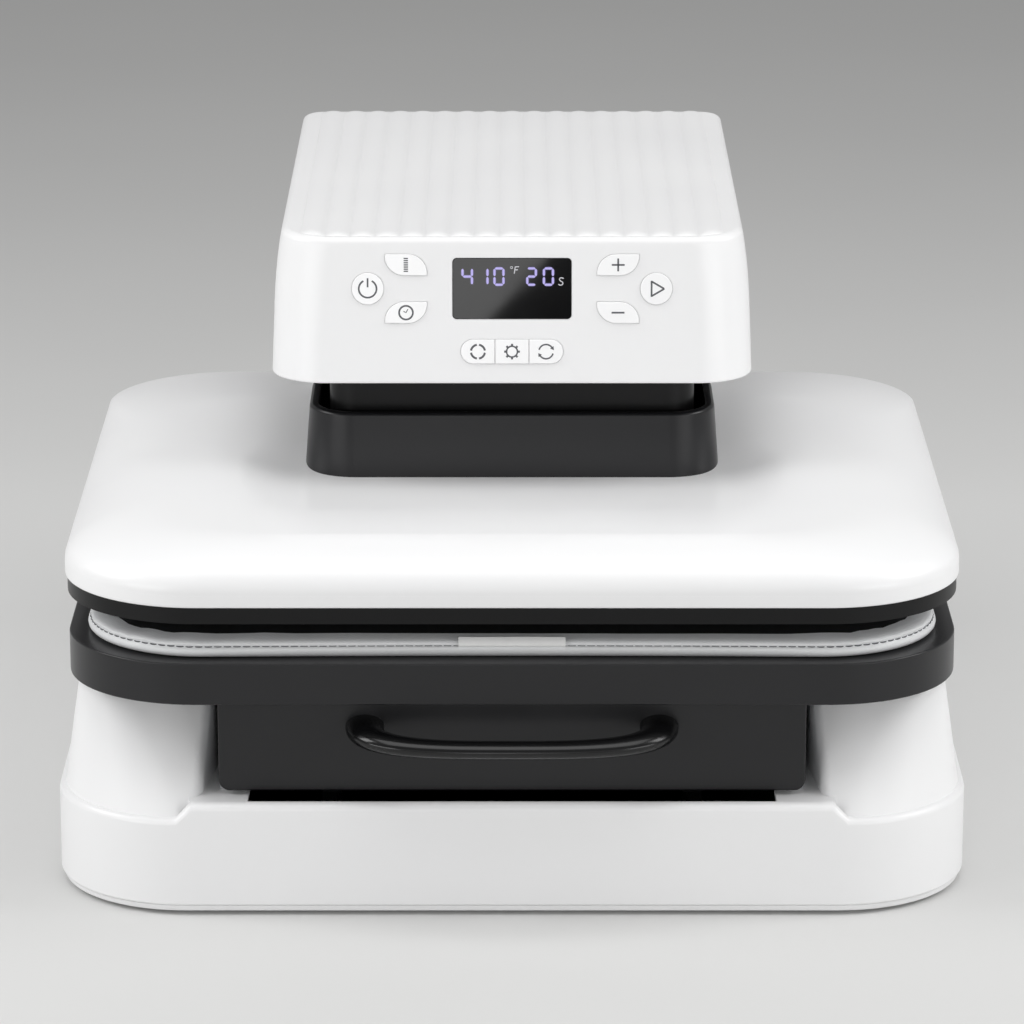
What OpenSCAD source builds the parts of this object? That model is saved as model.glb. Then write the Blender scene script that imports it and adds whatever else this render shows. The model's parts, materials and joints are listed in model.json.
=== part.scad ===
// Flat heat press with a motor-driven upper platen and a pull-out lower tray.
// Lengths are in millimetres. While the pieces are laid out, y runs back from the front of the base
// and z runs up from the floor; placed() then centres the whole press on the origin.

/* [Base] */
// Margin of the base beside the press mat
base_side = 14; // [12:0.5:24]
// Corner radius of the base, seen from above
base_r = 60; // [50:1:70]
// Height of the rubber feet below the bottom pan
foot_h = 1.5; // [1:0.5:4]
// Thickness of the bottom pan
pan_t = 3; // [2:0.5:5]
// Step from the base wall in to the edge of the pan
pan_inset = 4; // [2:0.5:8]
// Height of the drawer deck above the floor
deck_h = 52; // [50:1:56]
// Drop from the deck to the foot of the sloped shoulders
ledge_drop = 7; // [5:0.5:10]
// Height of the shoulders above the deck
shoulder_h = 43; // [42:1:50]
// How far the sloped face of a shoulder runs back
shoulder_run = 50; // [40:1:60]
// How far the shoulder's outer side leans in at the top
shoulder_lean = 9.5; // [4:0.5:14]
// Width of the ledge at the foot of the shoulders
ledge_w = 1; // [0.5:0.1:2]
// Corner radius at the top of a shoulder
shoulder_r = 24; // [16:1:34]
// Gap between a drawer slide and the channel wall
channel_gap = 3.7; // [1:0.1:5]
// How far each channel wall flares out at the front
channel_flare = 5.5; // [2:0.5:8]
// Wall of the moulded shells
wall = 3; // [2.5:0.1:3.5]

/* [Drawer] */
// How far the drawer front laps past the box on each side
front_lap = 15.5; // [14:0.5:17]
// Width of the drawer box between its slides
box_w = 229; // [200:1:266]
// Gap from the back of the drawer box to the back of the tray
box_short = 23; // [22:1:40]
// Setback of the drawer front from the front of the base
box_y = 13; // [11:0.5:16]
// Gap under the drawer box
box_lift = 2; // [1.5:0.1:3]
// Gap between the shoulders and the tray
tray_gap = 3; // [2:0.5:5]
// Thickness of the tray
tray_t = 19; // [16:0.5:24]
// Margin of the tray beside the press mat
tray_side = 7.75; // [5:0.25:11]
// Margin of the tray in front of and behind the press mat
tray_margin = 6.5; // [6.5:0.5:9]
// Corner radius of the tray
tray_r = 59; // [50:1:66]
// Wall of the drawer box and tray
tray_wall = 3.5; // [3:0.1:4.5]
// Distance between the legs of the handle
handle_w = 131; // [110:1:180]
// Reach of the handle in front of the drawer
handle_reach = 28; // [26:1:36]
// Width of the handle's flat bar
handle_bar = 12; // [9:0.5:14]
// Thickness of the handle's flat bar
handle_t = 6.8; // [5:0.1:8]
// Bend radius of the handle
handle_bend = 18; // [14:1:22]
// Downward tilt of the handle in degrees
handle_tilt = 7.5; // [0:0.5:12]
// Drop from the tray to the roots of the handle
handle_drop = 12; // [10:0.5:16]
// How much shorter than the drawer box the slides are
slide_short = 18; // [12:1:30]
// Sheet of the drawer slides
slide_t = 1.5; // [1.2:0.1:2]
// Height of the drawer slides
slide_h = 36; // [32:1:38]
// Running gap between the slide members
slide_gap = 0.4; // [0.3:0.1:0.6]

/* [Press mat] */
// Side of the square press mat and heat plate
press_side = 381; // [370:1:382]
// Corner radius of the mat and heat plate
press_r = 54; // [45:1:60]
// Thickness of the mat at its crown
mat_t = 9.5; // [8:0.5:13]
// Width of the pull tab on the mat
tab_w = 47; // [30:1:60]

/* [Platen] */
// Gap between the mat and the raised heat plate
press_gap = 6.7; // [6.7:0.1:12]
// Thickness of the heat plate
plate_t = 8; // [7:0.5:9]
// Margin of the upper platen beside the heat plate
platen_side = 9.5; // [8:0.5:14]
// Margin of the upper platen in front of and behind the heat plate
platen_margin = 5.5; // [5:0.5:7.5]
// Corner radius of the upper platen
platen_r = 62; // [56:1:70]
// How far the heat plate stands below the rim
plate_proud = 1.4; // [1:0.1:3]
// Height of the dark rim
rim_h = 9; // [8.5:0.5:12]
// Height of the white cover above the rim
cover_h = 24; // [23:0.5:30]
// Wall of the white cover
cover_wall = 2.8; // [2.4:0.1:3.4]
// Thickness of the insulation board
insul_t = 4.5; // [4:0.5:5.5]
// Thickness of the steel backing plate
backing_t = 1.5; // [1:0.1:2]
// Width of the collar at its foot
collar_w = 192; // [184:1:196]
// Depth of the collar at its foot
collar_d = 86; // [80:1:96]
// Corner radius of the collar
collar_r = 25; // [18:1:30]
// Wall of the collar at its rim
collar_wall = 4.3; // [3.5:0.1:6]
// Height of the collar above the backing plate
collar_h = 42; // [40:1:48]

/* [Head] */
// Gap between the collar and the head at rest
head_gap = 19; // [18:0.5:24]
// Width of the head at its lower edge
head_w = 220; // [214:1:230]
// Height of the head below the reeded top
head_h = 67; // [66:1:74]
// How far the head reaches forward of the lead screw
head_reach = 59; // [55:1:69]
// How far each side and the front draw in at the top of the walls
head_draft = 2.5; // [1:0.1:4]
// Backward lean of the control panel in degrees
panel_tilt = 5.8; // [4:0.1:7]
// Corner radius of the head
head_r = 26; // [18:1:34]
// Pitch of the reeds on the top
reed_pitch = 11.4; // [9:0.1:14]
// Height of a reed
reed_h = 1; // [0.4:0.1:1.6]
// Gap between the neck and the collar
neck_gap = 3.7; // [2:0.1:5]
// Width of the rear column
column_w = 214; // [206:1:218]
// Depth of the rear column
column_d = 46; // [44:1:60]
// Gap between the tray and the rear column
column_gap = 6; // [4:0.5:6]

/* [Controls] */
// Width of the display window
display_w = 54.4; // [48:0.2:60]
// Height of the display window
display_h = 28.1; // [24:0.1:32]
// Height of the display's centre along the panel
display_v = 44; // [42:0.5:46]
// Diameter of the round buttons
round_dia = 14.6; // [12:0.1:16]
// Distance between the round buttons
round_span = 132; // [128:1:136]
// Width of a leaf button
leaf_w = 19.2; // [16:0.1:20]
// Height of a leaf button
leaf_h = 9.7; // [8:0.1:11]
// Distance between the two columns of leaf buttons
leaf_span = 97; // [95:0.5:98]
// Distance between the two rows of leaf buttons
leaf_rows = 22; // [20:0.5:24]
// Width of one mode key
mode_w = 15.6; // [14:0.1:16.5]
// Height of the mode keys
mode_h = 11.1; // [9:0.1:12]
// Height of the mode keys along the panel
mode_v = 15; // [14.5:0.1:16]
// Gap around a button
button_gap = 0.3; // [0.2:0.05:0.5]
// How far a button stands out of the panel
button_proud = 0.7; // [0.5:0.1:1.2]

/* [Drive] */
// Diameter of the lead screw
screw_dia = 12; // [10:0.5:12]
// Diameter of the guide rods
rod_dia = 12; // [10:0.5:14]
// Distance between the guide rods
rod_span = 116; // [108:1:120]
// Radial running clearance of shafts
run_gap = 0.05; // [0.03:0.01:0.08]
// Thickness of the steel frame plates
frame_t = 6; // [5:0.5:8]
// Distance between the inner faces of the frame plates
frame_span = 160; // [158:1:168]
// Diameter of the motor
motor_dia = 38; // [32:1:40]
// Length of the motor
motor_len = 82; // [60:1:100]

/* [Hidden] */
$fn = 96;
// A skin thick enough to loft from
skin = 0.02;
// A cut reaches this far past the face it opens
past = 1;
// Gap between fixed pieces that are fitted together
fit_gap = 0.2;
// Play around a part seated in a bore of its own body
seat_gap = 0.03;
// Fineness of lofted corners
loft_fn = 48;

// Heights, stacked from the floor
pan_z = foot_h;
base_z = pan_z + pan_t;
ledge_z = deck_h - ledge_drop;
shoulder_z = deck_h + shoulder_h;
tray_z = shoulder_z + tray_gap;
mat_z = tray_z + tray_t;
plate_z = mat_z + mat_t + press_gap;
insul_z = plate_z + plate_t;
backing_z = insul_z + insul_t;
backing_top = backing_z + backing_t;
rim_z = plate_z + plate_proud;
cover_z = rim_z + rim_h;
cover_top = cover_z + cover_h;
collar_top = backing_top + collar_h;
head_z = collar_top + head_gap;
head_top = head_z + head_h;

// Widths and depths, from the press mat outwards
base_w = press_side + 2 * base_side;
tray_w = press_side + 2 * tray_side;
tray_d = press_side + 2 * tray_margin;
platen_w = press_side + 2 * platen_side;
platen_d = press_side + 2 * platen_margin;
box_d = tray_d - box_y - box_short;
slide_len = box_d - slide_short;

// Places along the depth
press_y = tray_d / 2;
column_y = tray_d + column_gap;
base_d = column_y + column_d;
head_y = press_y - head_reach;
box_z = deck_h + box_lift;
box_h = tray_z - box_z;
front_t = 6;
handle_z = tray_z - handle_drop;
handle_front = box_y - (handle_reach + handle_bar / 2 - handle_t / 2) * cos(handle_tilt) - handle_t / 2;
inlet_flange_t = 2;
rear_end = base_d + inlet_flange_t;
mid_y = (handle_front + rear_end) / 2;

// Drawer slides, from the channel side inwards
slide_y = box_y + front_t + 3;
inner_x = box_w / 2;
slide_reach = 10;
outer_x = inner_x + slide_reach + 2 * slide_t + 2 * slide_gap;
front_w = box_w + 2 * front_lap;
channel_half = outer_x + slide_t + channel_gap;
channel_mouth = channel_half + channel_flare;
slide_z = deck_h + slide_t;

// Frame and drive
frame_x = frame_span / 2;
frame_front = 40;
frame_edge = 4;
frame_col_y = column_y + wall + 2;
frame_col_d = column_d - 3 * wall - 6;
arm_z = head_z + wall + 3;
arm_h = 46;
arm_y = press_y - 32;
frame_hole_r = 8;
cross_t = 6;
cross_d = 64;
cross_z = arm_z + 8;
bush_r = rod_dia / 2 + 3;
bush_flange_r = bush_r + 3;
bush_flange_t = 3;
bearing_r = screw_dia / 2 + 8;
bearing_flange_t = 3;
gearbox_w = 62;
gearbox_d = 60;
gearbox_h = 33;
gearbox_z = cross_z + cross_t;
screw_entry = 10;
bridge_w = 150;
bridge_d = 44;
bridge_t = 12;
bridge_top = backing_top + bridge_t;
nut_flange_r = screw_dia / 2 + 11;
nut_flange_t = 4;
nut_r = screw_dia / 2 + 5;
nut_h = 24;
screw_bottom = bridge_top + 6;

// Control panel
board_t = 1.6;
board_w = 176;
board_h = 54;
board_v = 34;
board_gap = 13;
switch_side = 6;
switch_t = 5;
flange_t = 1.2;
flange_lip = 0.8;
switch_gap = 0.9;
boss_u = 82;
boss_v = 24;
boss_r = 3.2;
pilot_r = 1.3;
lens_t = 2;
lens_step = 2;
lens_r = 2;

// Screws that close the shells
screw_r = 1.8;
screw_head_r = 3.6;
screw_head_t = 1.5;
screw_len = 12;
pan_boss_r = 5;
pan_boss_x = base_w / 2 - 24;
pan_boss_h = screw_len + 6;
pan_boss_ys = [base_r + 20, base_d / 2, base_d - base_r - 20];
foot_r = 13;
foot_plug_r = 4;
foot_plug_h = 2.5;
foot_x = base_w / 2 - base_r;
foot_ys = [base_r, base_d - base_r];
floor_boss_r = 4.5;
floor_boss_x = head_w / 2 - wall - floor_boss_r + 0.5;
floor_boss_in = 60;
floor_boss_mid = 90;
floor_boss_ys = [head_y + floor_boss_in, press_y + floor_boss_mid, base_d - floor_boss_in];
floor_boss_h = 16;

// Rear service cover and mains inlet
rear_w = 150;
rear_h = 96;
rear_z = shoulder_z + 10;
rear_boss_r = 5;
rear_boss_x = rear_w / 2 - 8;
rear_boss_z = rear_h / 2 - 8;
vent_count = 7;
vent_w = 70;
vent_h = 3;
vent_pitch = 7;
inlet_w = 28;
inlet_h = 20;
inlet_depth = 24;
inlet_wall = 1.8;
inlet_x = -40;
inlet_lift = 26;
inlet_z = rear_z + inlet_lift;
inlet_flange_w = 46;
inlet_pin_gap = 7;

// Centres the press on the origin, front to back
module placed() {
    translate([0, -mid_y, 0]) children();
}

// Rounded rectangle from y0 back to y1, with front and rear corner radii
module plan(w, y0, y1, rf, rb) {
    for (s = [-1, 1]) {
        translate([s * (w / 2 - rf), y0 + rf]) circle(rf);
        translate([s * (w / 2 - rb), y1 - rb]) circle(rb);
    }
    translate([rf - w / 2, y0]) square([w - 2 * rf, rf]);
    translate([-w / 2, y0 + rf]) square([w, y1 - y0 - rf - rb]);
    translate([rb - w / 2, y1 - rb]) square([w - 2 * rb, rb]);
}

// A flat slab of that outline
module slab(w, y0, y1, rf, rb, z, h) {
    translate([0, 0, z]) linear_extrude(h) plan(w, y0, y1, rf, rb);
}

// A slab centred under the platen, square to its sides
module press_slab(w, d, r, z, h) {
    slab(w, press_y - d / 2, press_y + d / 2, r, r, z, h);
}

// A block centred on x = 0
module block(w, y0, d, z, h) {
    translate([-w / 2, y0, z]) cube([w, d, h]);
}

// A profile drawn in y and z, extruded to both sides of x = 0
module side_profile(w) {
    translate([-w / 2, 0, 0]) rotate([90, 0, 90]) linear_extrude(w) children();
}

// A profile drawn in x and z, extruded back from y
module front_profile(y, d) {
    translate([0, y + d, 0]) rotate([90, 0, 0]) linear_extrude(d) children();
}

// Both sides of the press
module pair() {
    children();
    mirror([1, 0, 0]) children();
}

// A screw standing on its tip: head below, shank up
module screw_up(shank) {
    cylinder(r = screw_head_r, h = screw_head_t);
    translate([0, 0, screw_head_t]) cylinder(r = screw_r, h = shank);
}

// Body of the base up to the shoulders, drawn in by inset
module base_form(inset, z0) {
    foot = inset + ledge_w;
    slab(base_w - 2 * inset, inset, base_d - inset, base_r - inset, base_r - inset, z0, ledge_z - z0);
    hull() {
        slab(base_w - 2 * foot, foot, base_d - foot, base_r - foot, base_r - foot, ledge_z - skin, skin, $fn = loft_fn);
        slab(base_w - 2 * (inset + shoulder_lean), inset + shoulder_run, base_d - foot, shoulder_r,
            base_r - shoulder_lean, shoulder_z - inset - skin, skin, $fn = loft_fn);
    }
}

// The drawer channel, flared at its mouth and widened by grow on every side
module channel(grow) {
    back = column_y - wall + grow;
    translate([0, 0, deck_h - grow]) linear_extrude(shoulder_h + grow + past) {
        translate([-channel_half - grow, -past]) square([2 * (channel_half + grow), back + past]);
        polygon([
            [-channel_mouth - grow, -past], [channel_mouth + grow, -past],
            [channel_half + grow - skin, shoulder_run], [-channel_half - grow + skin, shoulder_run]
        ]);
    }
}

lip_d = 4.5;
// Slot in the deck behind its front lip, under the drawer and between the slides
slot_gap = 1.4;
slot_half = outer_x - slide_reach - slot_gap;
slot_back = frame_front - frame_edge;
module base_housing() {
    color("white") placed() difference() {
        union() {
            difference() {
                base_form(0, base_z);
                channel(0);
                difference() {
                    base_form(wall, base_z - past);
                    channel(wall);
                    block(2 * (channel_mouth + wall), 0, lip_d, ledge_z - wall, 2 * ledge_drop);
                }
            }
            block(2 * channel_mouth, 0, lip_d, ledge_z - skin, ledge_drop + skin);
            pair() for (y = pan_boss_ys) translate([pan_boss_x, y, base_z]) {
                cylinder(r = pan_boss_r, h = pan_boss_h);
                translate([0, -wall / 2, 0]) cube([base_w / 2 - wall / 2 - pan_boss_x, wall, pan_boss_h]);
            }
        }
        block(frame_span + 2 * frame_t + 2, frame_col_y - 1, frame_col_d + 2, ledge_z, 2 * shoulder_h);
        block(2 * slot_half, lip_d, slot_back - lip_d, deck_h - wall - past, wall + 2 * past);
        pair() for (y = pan_boss_ys)
            translate([pan_boss_x, y, base_z - past]) cylinder(r = screw_r + seat_gap, h = screw_len + past);
    }
}

module base_pan() {
    color("white") placed() difference() {
        union() {
            slab(base_w - 2 * pan_inset, pan_inset, base_d - pan_inset, base_r - pan_inset,
                base_r - pan_inset, pan_z, pan_t);
            for (x = [board_left, board_left + power_w], y = [board_front, board_front + power_d])
                translate([x, y, base_z]) cylinder(r = power_post_r, h = power_lift);
        }
        pair() for (y = pan_boss_ys) translate([pan_boss_x, y, pan_z - past]) {
            cylinder(r = screw_r + fit_gap, h = pan_t + 2 * past);
            cylinder(r = screw_head_r + fit_gap, h = past + screw_head_t);
        }
        pair() for (y = foot_ys)
            translate([foot_x, y, pan_z - past]) cylinder(r = foot_plug_r + seat_gap, h = pan_t + 2 * past);
    }
}

module pan_screws() {
    color("gray") placed() pair() for (y = pan_boss_ys)
        translate([pan_boss_x, y, pan_z]) screw_up(screw_len);
}

module rubber_feet() {
    color([0.1, 0.1, 0.1]) placed() pair() for (y = foot_ys) translate([foot_x, y, 0]) {
        cylinder(r = foot_r, h = foot_h);
        translate([0, 0, foot_h]) cylinder(r = foot_plug_r, h = pan_t + foot_plug_h);
    }
}

// C-shaped side plate: foot under the deck, column, and arm over the platen
module frame_plate(x) {
    column_back = frame_col_y + frame_col_d;
    foot_top = deck_h - wall - beam_h;
    translate([x, 0, 0]) rotate([90, 0, 90]) linear_extrude(frame_t) difference() {
        polygon([
            [frame_front, base_z], [column_back, base_z], [column_back, arm_z + arm_h], [arm_y, arm_z + arm_h],
            [arm_y, arm_z], [frame_col_y - frame_edge, arm_z], [frame_col_y, arm_z - frame_edge],
            [frame_col_y, foot_top + frame_edge], [frame_col_y - frame_edge, foot_top], [frame_front, foot_top]
        ]);
        for (y = beam_ys) translate([y, (base_z + foot_top) / 2]) circle(frame_hole_r);
        translate([(arm_y + frame_col_y) / 2, arm_z + arm_h / 2]) circle(frame_hole_r);
    }
}

module c_frame_left() {
    color("slategray") placed() frame_plate(-frame_x - frame_t);
}

module c_frame_right() {
    color("slategray") placed() frame_plate(frame_x);
}

// Folded steel beams that carry the deck on the frame plates
beam_h = 14;
beam_w = 40;
beam_t = 2.5;
beam_pitch = 110;
beam_ys = [press_y - beam_pitch, press_y, press_y + beam_pitch];
module deck_beams() {
    color("silver") placed() for (y = beam_ys) front_profile(y - beam_w / 2, beam_w)
        translate([0, deck_h - wall]) difference() {
            translate([-frame_x - frame_t, -beam_h]) square([frame_span + 2 * frame_t, beam_h]);
            translate([-frame_x + beam_t, -beam_h - past]) square([frame_span - 2 * beam_t, beam_h - beam_t + past]);
        }
}

// Hollow column behind the platen, on the rear of the base
column_r = 16;
module column_cover() {
    height = head_z - shoulder_z;
    color("white") placed() difference() {
        slab(column_w, column_y, base_d, column_r, column_r, shoulder_z, height);
        slab(column_w - 2 * wall, column_y + wall, base_d - wall, column_r - wall, column_r - wall,
            shoulder_z - past, height + 2 * past);
        block(rear_w + 2 * fit_gap, base_d - wall - past, wall + 2 * past, rear_z - fit_gap, rear_h + 2 * fit_gap);
    }
}

// Service cover in the back of the column, with vents and the inlet's cut-out
module rear_cover() {
    color("whitesmoke") placed() difference() {
        union() {
            block(rear_w, base_d - wall, wall, rear_z, rear_h);
            block(rear_w + 2 * rear_lip, base_d - 2 * wall, wall, rear_z - rear_lip, rear_h + 2 * rear_lip);
        }
        for (i = [0 : vent_count - 1])
            translate([rear_w / 4 - vent_w / 2, base_d - 2 * wall - past, rear_z + 22 + i * vent_pitch])
                cube([vent_w, 2 * wall + 2 * past, vent_h]);
        translate([inlet_x - inlet_w / 2 - fit_gap, base_d - 2 * wall - past, inlet_z - inlet_h / 2 - fit_gap])
            cube([inlet_w + 2 * fit_gap, 2 * wall + 2 * past, inlet_h + 2 * fit_gap]);
        rear_screw_places() cylinder(r = screw_r + fit_gap, h = 4 * wall, center = true);
    }
}
rear_lip = 6;

// Four places on the service cover, with z pointing out of the back
module rear_screw_places() {
    for (x = [-1, 1], z = [-1, 1])
        translate([x * rear_boss_x, base_d, rear_z + rear_h / 2 + z * rear_boss_z]) rotate([-90, 0, 0]) children();
}

module rear_screws() {
    color("gray") placed() rear_screw_places() {
        cylinder(r = screw_head_r, h = screw_head_t);
        translate([0, 0, -2 * wall]) cylinder(r = screw_r, h = 2 * wall);
    }
}

// Appliance inlet: flanged socket with three blades
module power_inlet() {
    blade_w = 2;
    blade_h = 4;
    color([0.12, 0.12, 0.12]) placed() translate([inlet_x, base_d, inlet_z]) {
        difference() {
            union() {
                translate([-inlet_flange_w / 2, 0, -inlet_h / 2 - 2]) cube([inlet_flange_w, inlet_flange_t, inlet_h + 4]);
                translate([-inlet_w / 2, -inlet_depth, -inlet_h / 2]) cube([inlet_w, inlet_depth, inlet_h]);
            }
            translate([inlet_wall - inlet_w / 2, inlet_wall - inlet_depth, inlet_wall - inlet_h / 2])
                cube([inlet_w - 2 * inlet_wall, inlet_depth + past + inlet_flange_t, inlet_h - 2 * inlet_wall]);
        }
        for (p = [[-inlet_pin_gap, -2], [0, 2], [inlet_pin_gap, -2]])
            translate([p[0] - blade_w / 2, inlet_wall - inlet_depth - skin, p[1] - blade_h / 2])
                cube([blade_w, inlet_depth - 8, blade_h]);
    }
}

// Power board on posts of the pan, in the right bay of the base
power_d = 150;
power_lift = 6;
power_post_r = 3;
power_edge = 5;
power_side_gap = 8;
power_frame_gap = 11.5;
power_w = pan_boss_x - pan_boss_r - power_side_gap - 2 * power_edge - power_frame_gap - frame_x - frame_t;
board_left = pan_boss_x - pan_boss_r - power_side_gap - power_edge - power_w;
board_front = press_y - power_d / 2;
choke_h = 18;
filter_h = 12;
reservoir_r = 8;
reservoir_h = 22;
sink_h = 20;
sink_fins = 4;
module power_board() {
    top = base_z + power_lift + board_t;
    sink_w = 0.7 * power_w;
    sink_d = 0.14 * power_d;
    fin = sink_w / (2 * sink_fins - 1);
    color("darkgreen") placed() {
        translate([board_left - power_edge, board_front - power_edge, base_z + power_lift])
            cube([power_w + 2 * power_edge, power_d + 2 * power_edge, board_t]);
        translate([board_left, board_front, top]) {
            translate([0.1 * power_w, 0.08 * power_d, 0]) cube([0.55 * power_w, 0.27 * power_d, choke_h]);
            translate([0.1 * power_w, 0.45 * power_d, 0]) cube([0.33 * power_w, 0.2 * power_d, filter_h]);
            translate([0.75 * power_w, 0.5 * power_d, 0]) cylinder(r = reservoir_r, h = reservoir_h);
            translate([0.75 * power_w, 0.68 * power_d, 0]) cylinder(r = 0.7 * reservoir_r, h = 0.7 * reservoir_h);
            translate([0.1 * power_w, 0.82 * power_d, 0]) difference() {
                cube([sink_w, sink_d, sink_h]);
                for (i = [0 : sink_fins - 2]) translate([(2 * i + 1) * fin, -past, fin]) cube([fin, sink_d + 2 * past, sink_h]);
            }
        }
    }
}

// One C-shaped slide member, open towards -x, with its web at x
module rail(x, z, h, reach) {
    front_profile(slide_y, slide_len) difference() {
        translate([x - reach, z]) square([reach + slide_t, h]);
        translate([x - reach - past, z + slide_t]) square([reach + past, h - 2 * slide_t]);
    }
}

module outer_rails() {
    color("lightgray") placed() pair() {
        rail(outer_x, slide_z, slide_h, slide_reach);
        front_profile(slide_y, slide_len) translate([outer_x - slide_reach, deck_h]) square([slide_reach + slide_t, slide_t]);
    }
}

module middle_rails() {
    drop = slide_t + slide_gap;
    color("gainsboro") placed() pair()
        rail(outer_x - drop, slide_z + drop, slide_h - 2 * drop, slide_reach - drop);
}

module inner_rails() {
    drop = 2 * (slide_t + slide_gap);
    color("silver") placed() pair() front_profile(slide_y, slide_len) difference() {
        translate([inner_x, slide_z + drop]) square([slide_reach - drop, slide_h - 2 * drop]);
        translate([inner_x + slide_t, slide_z + drop + slide_t])
            square([slide_reach, slide_h - 2 * drop - 2 * slide_t]);
    }
}

// Ribbed drawer box that carries the tray, with its wider front
rib_t = 4;
rib_cells = 4;
module drawer_box() {
    body_y = box_y + front_t;
    body_d = box_d - front_t;
    cell_w = (box_w - 2 * tray_wall - (rib_cells - 1) * rib_t) / rib_cells;
    cell_d = (body_d - 2 * tray_wall - (rib_cells - 1) * rib_t) / rib_cells;
    color([0.2, 0.2, 0.2]) placed() {
        front_profile(box_y, front_t) translate([0, box_z]) {
            for (s = [-1, 1]) translate([s * (front_w / 2 - front_r), front_r]) circle(front_r);
            translate([front_r - front_w / 2, 0]) square([front_w - 2 * front_r, front_r]);
            translate([-front_w / 2, front_r]) square([front_w, box_h - front_r]);
        }
        difference() {
            block(box_w, body_y, body_d, box_z, box_h);
            for (i = [0 : rib_cells - 1], j = [0 : rib_cells - 1])
                translate([
                    tray_wall - box_w / 2 + i * (cell_w + rib_t), body_y + tray_wall + j * (cell_d + rib_t),
                    box_z + tray_wall
                ]) cube([cell_w, cell_d, box_h]);
        }
    }
}
front_r = 5;

// Flat bar of the handle in section
module handle_section() {
    r = handle_t / 2;
    flat = handle_bar - handle_t;
    for (x = [-1, 1]) translate([x * flat / 2, 0]) circle(r);
    translate([-flat / 2, -r]) square([flat, handle_t]);
}

// Bow handle: bar, two bends and two legs that end on the drawer front
module drawer_handle() {
    leg = handle_reach - handle_bend;
    half = handle_w / 2;
    root = 6;
    color([0.15, 0.15, 0.15]) placed() difference() {
        translate([0, box_y, handle_z]) rotate([handle_tilt, 0, 0]) union() {
            translate([handle_bend - half, -handle_reach, 0])
                rotate([0, 90, 0]) linear_extrude(handle_w - 2 * handle_bend) rotate(90) handle_section();
            pair() {
                translate([half - handle_bend, -leg, 0]) rotate([0, 0, -90])
                    rotate_extrude(angle = 90) translate([handle_bend, 0]) handle_section();
                translate([half, -leg, 0]) rotate([-90, 0, 0]) linear_extrude(leg + root) handle_section();
            }
        }
        block(front_w, box_y, 4 * root, box_z, box_h);
    }
}

// Tray: a shallow pan turned over, with stiffening ribs under its top
tray_top_t = 6;
module drawer_tray() {
    depth = tray_t - tray_top_t;
    color([0.2, 0.2, 0.2]) placed() {
        difference() {
            press_slab(tray_w, tray_d, tray_r, tray_z, tray_t);
            press_slab(tray_w - 2 * tray_wall, tray_d - 2 * tray_wall, tray_r - tray_wall, tray_z - past, depth + past);
        }
        for (y = [box_y + front_t, box_y + box_d - rib_t, press_y])
            block(box_w, y, rib_t, tray_z, depth + skin);
        for (s = [-1, 0, 1])
            translate([s * (box_w - rib_t) / 2 - rib_t / 2, box_y + front_t, tray_z])
                cube([rib_t, box_d - front_t, depth + skin]);
    }
}

// Outline of the mat at one level: rounded corners, and sides drawn in between them
mat_arc_steps = 6;
mat_side_steps = 6;
mat_drawn_in = 1.5;
function mat_corner(k) = [(k == 0 || k == 3) ? 1 : -1, k < 2 ? 1 : -1];
function mat_ring(inset, z) = [
    for (k = [0 : 3]) each [
        for (j = [0 : mat_arc_steps]) let(
            a = 90 * k + 90 * j / mat_arc_steps,
            c = (press_side / 2 - press_r) * mat_corner(k),
            r = press_r - inset
        ) [c[0] + r * cos(a), press_y + c[1] + r * sin(a), z],
        for (j = [1 : mat_side_steps - 1]) let(
            a = 90 * (k + 1),
            run = (press_side - 2 * press_r) * (0.5 - j / mat_side_steps),
            out = press_side / 2 - inset - mat_drawn_in * sin(180 * j / mat_side_steps)
        ) [out * cos(a) + run * sin(a), press_y + out * sin(a) - run * cos(a), z]
    ]
];
// Levels of the mat: share of the thickness, and step in from the outline
mat_levels = [[0, 3], [0.14, 0.6], [0.4, 0], [0.62, 0.7], [0.82, 3], [0.93, 9], [0.98, 40]];

module press_mat() {
    rings = [for (l = mat_levels) mat_ring(l[1], mat_z + l[0] * mat_t)];
    n = len(rings[0]);
    m = len(rings);
    points = concat(
        [for (ring = rings) each ring],
        [[0, press_y, mat_z], [0, press_y, mat_z + mat_t]]
    );
    sides = [
        for (i = [0 : m - 2], j = [0 : n - 1]) each [
            [i * n + j, (i + 1) * n + j, i * n + (j + 1) % n],
            [i * n + (j + 1) % n, (i + 1) * n + j, (i + 1) * n + (j + 1) % n]
        ]
    ];
    bottom = [for (j = [0 : n - 1]) [m * n, j, (j + 1) % n]];
    top = [for (j = [0 : n - 1]) [m * n + 1, (m - 1) * n + (j + 1) % n, (m - 1) * n + j]];
    color("lightgray") placed() polyhedron(points, concat(sides, bottom, top));
}

// Woven pull tab, sewn over the front edge of the mat
tab_t = 0.6;
tab_clear = 0.2;
module mat_tab() {
    front = press_y - press_side / 2 + mat_drawn_in;
    edge = [for (l = mat_levels) [front + l[1], mat_z + l[0] * mat_t]];
    out = [for (i = [3 : 5]) let(run = edge[i + 1] - edge[i - 1]) [-run[1], run[0]] / norm(run)];
    color("white") placed() translate([-tab_w / 2, 0, 0]) rotate([90, 0, 90]) linear_extrude(tab_w)
        polygon([
            for (i = [3 : 5]) edge[i] + tab_clear * out[i - 3],
            for (i = [5 : -1 : 3]) edge[i] + (tab_clear + tab_t) * out[i - 3]
        ]);
}

// Outline of the head at a height, drawn in by inset
head_bevel = 6;
module head_level(z, inset, draw) {
    front = head_y + (z - head_z) * tan(panel_tilt);
    slab(head_w - 2 * (inset + draw), front + inset + max(0, draw - head_draft), base_d - inset - draw,
        head_r - inset, head_r - inset, z, skin, $fn = loft_fn);
}

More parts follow.
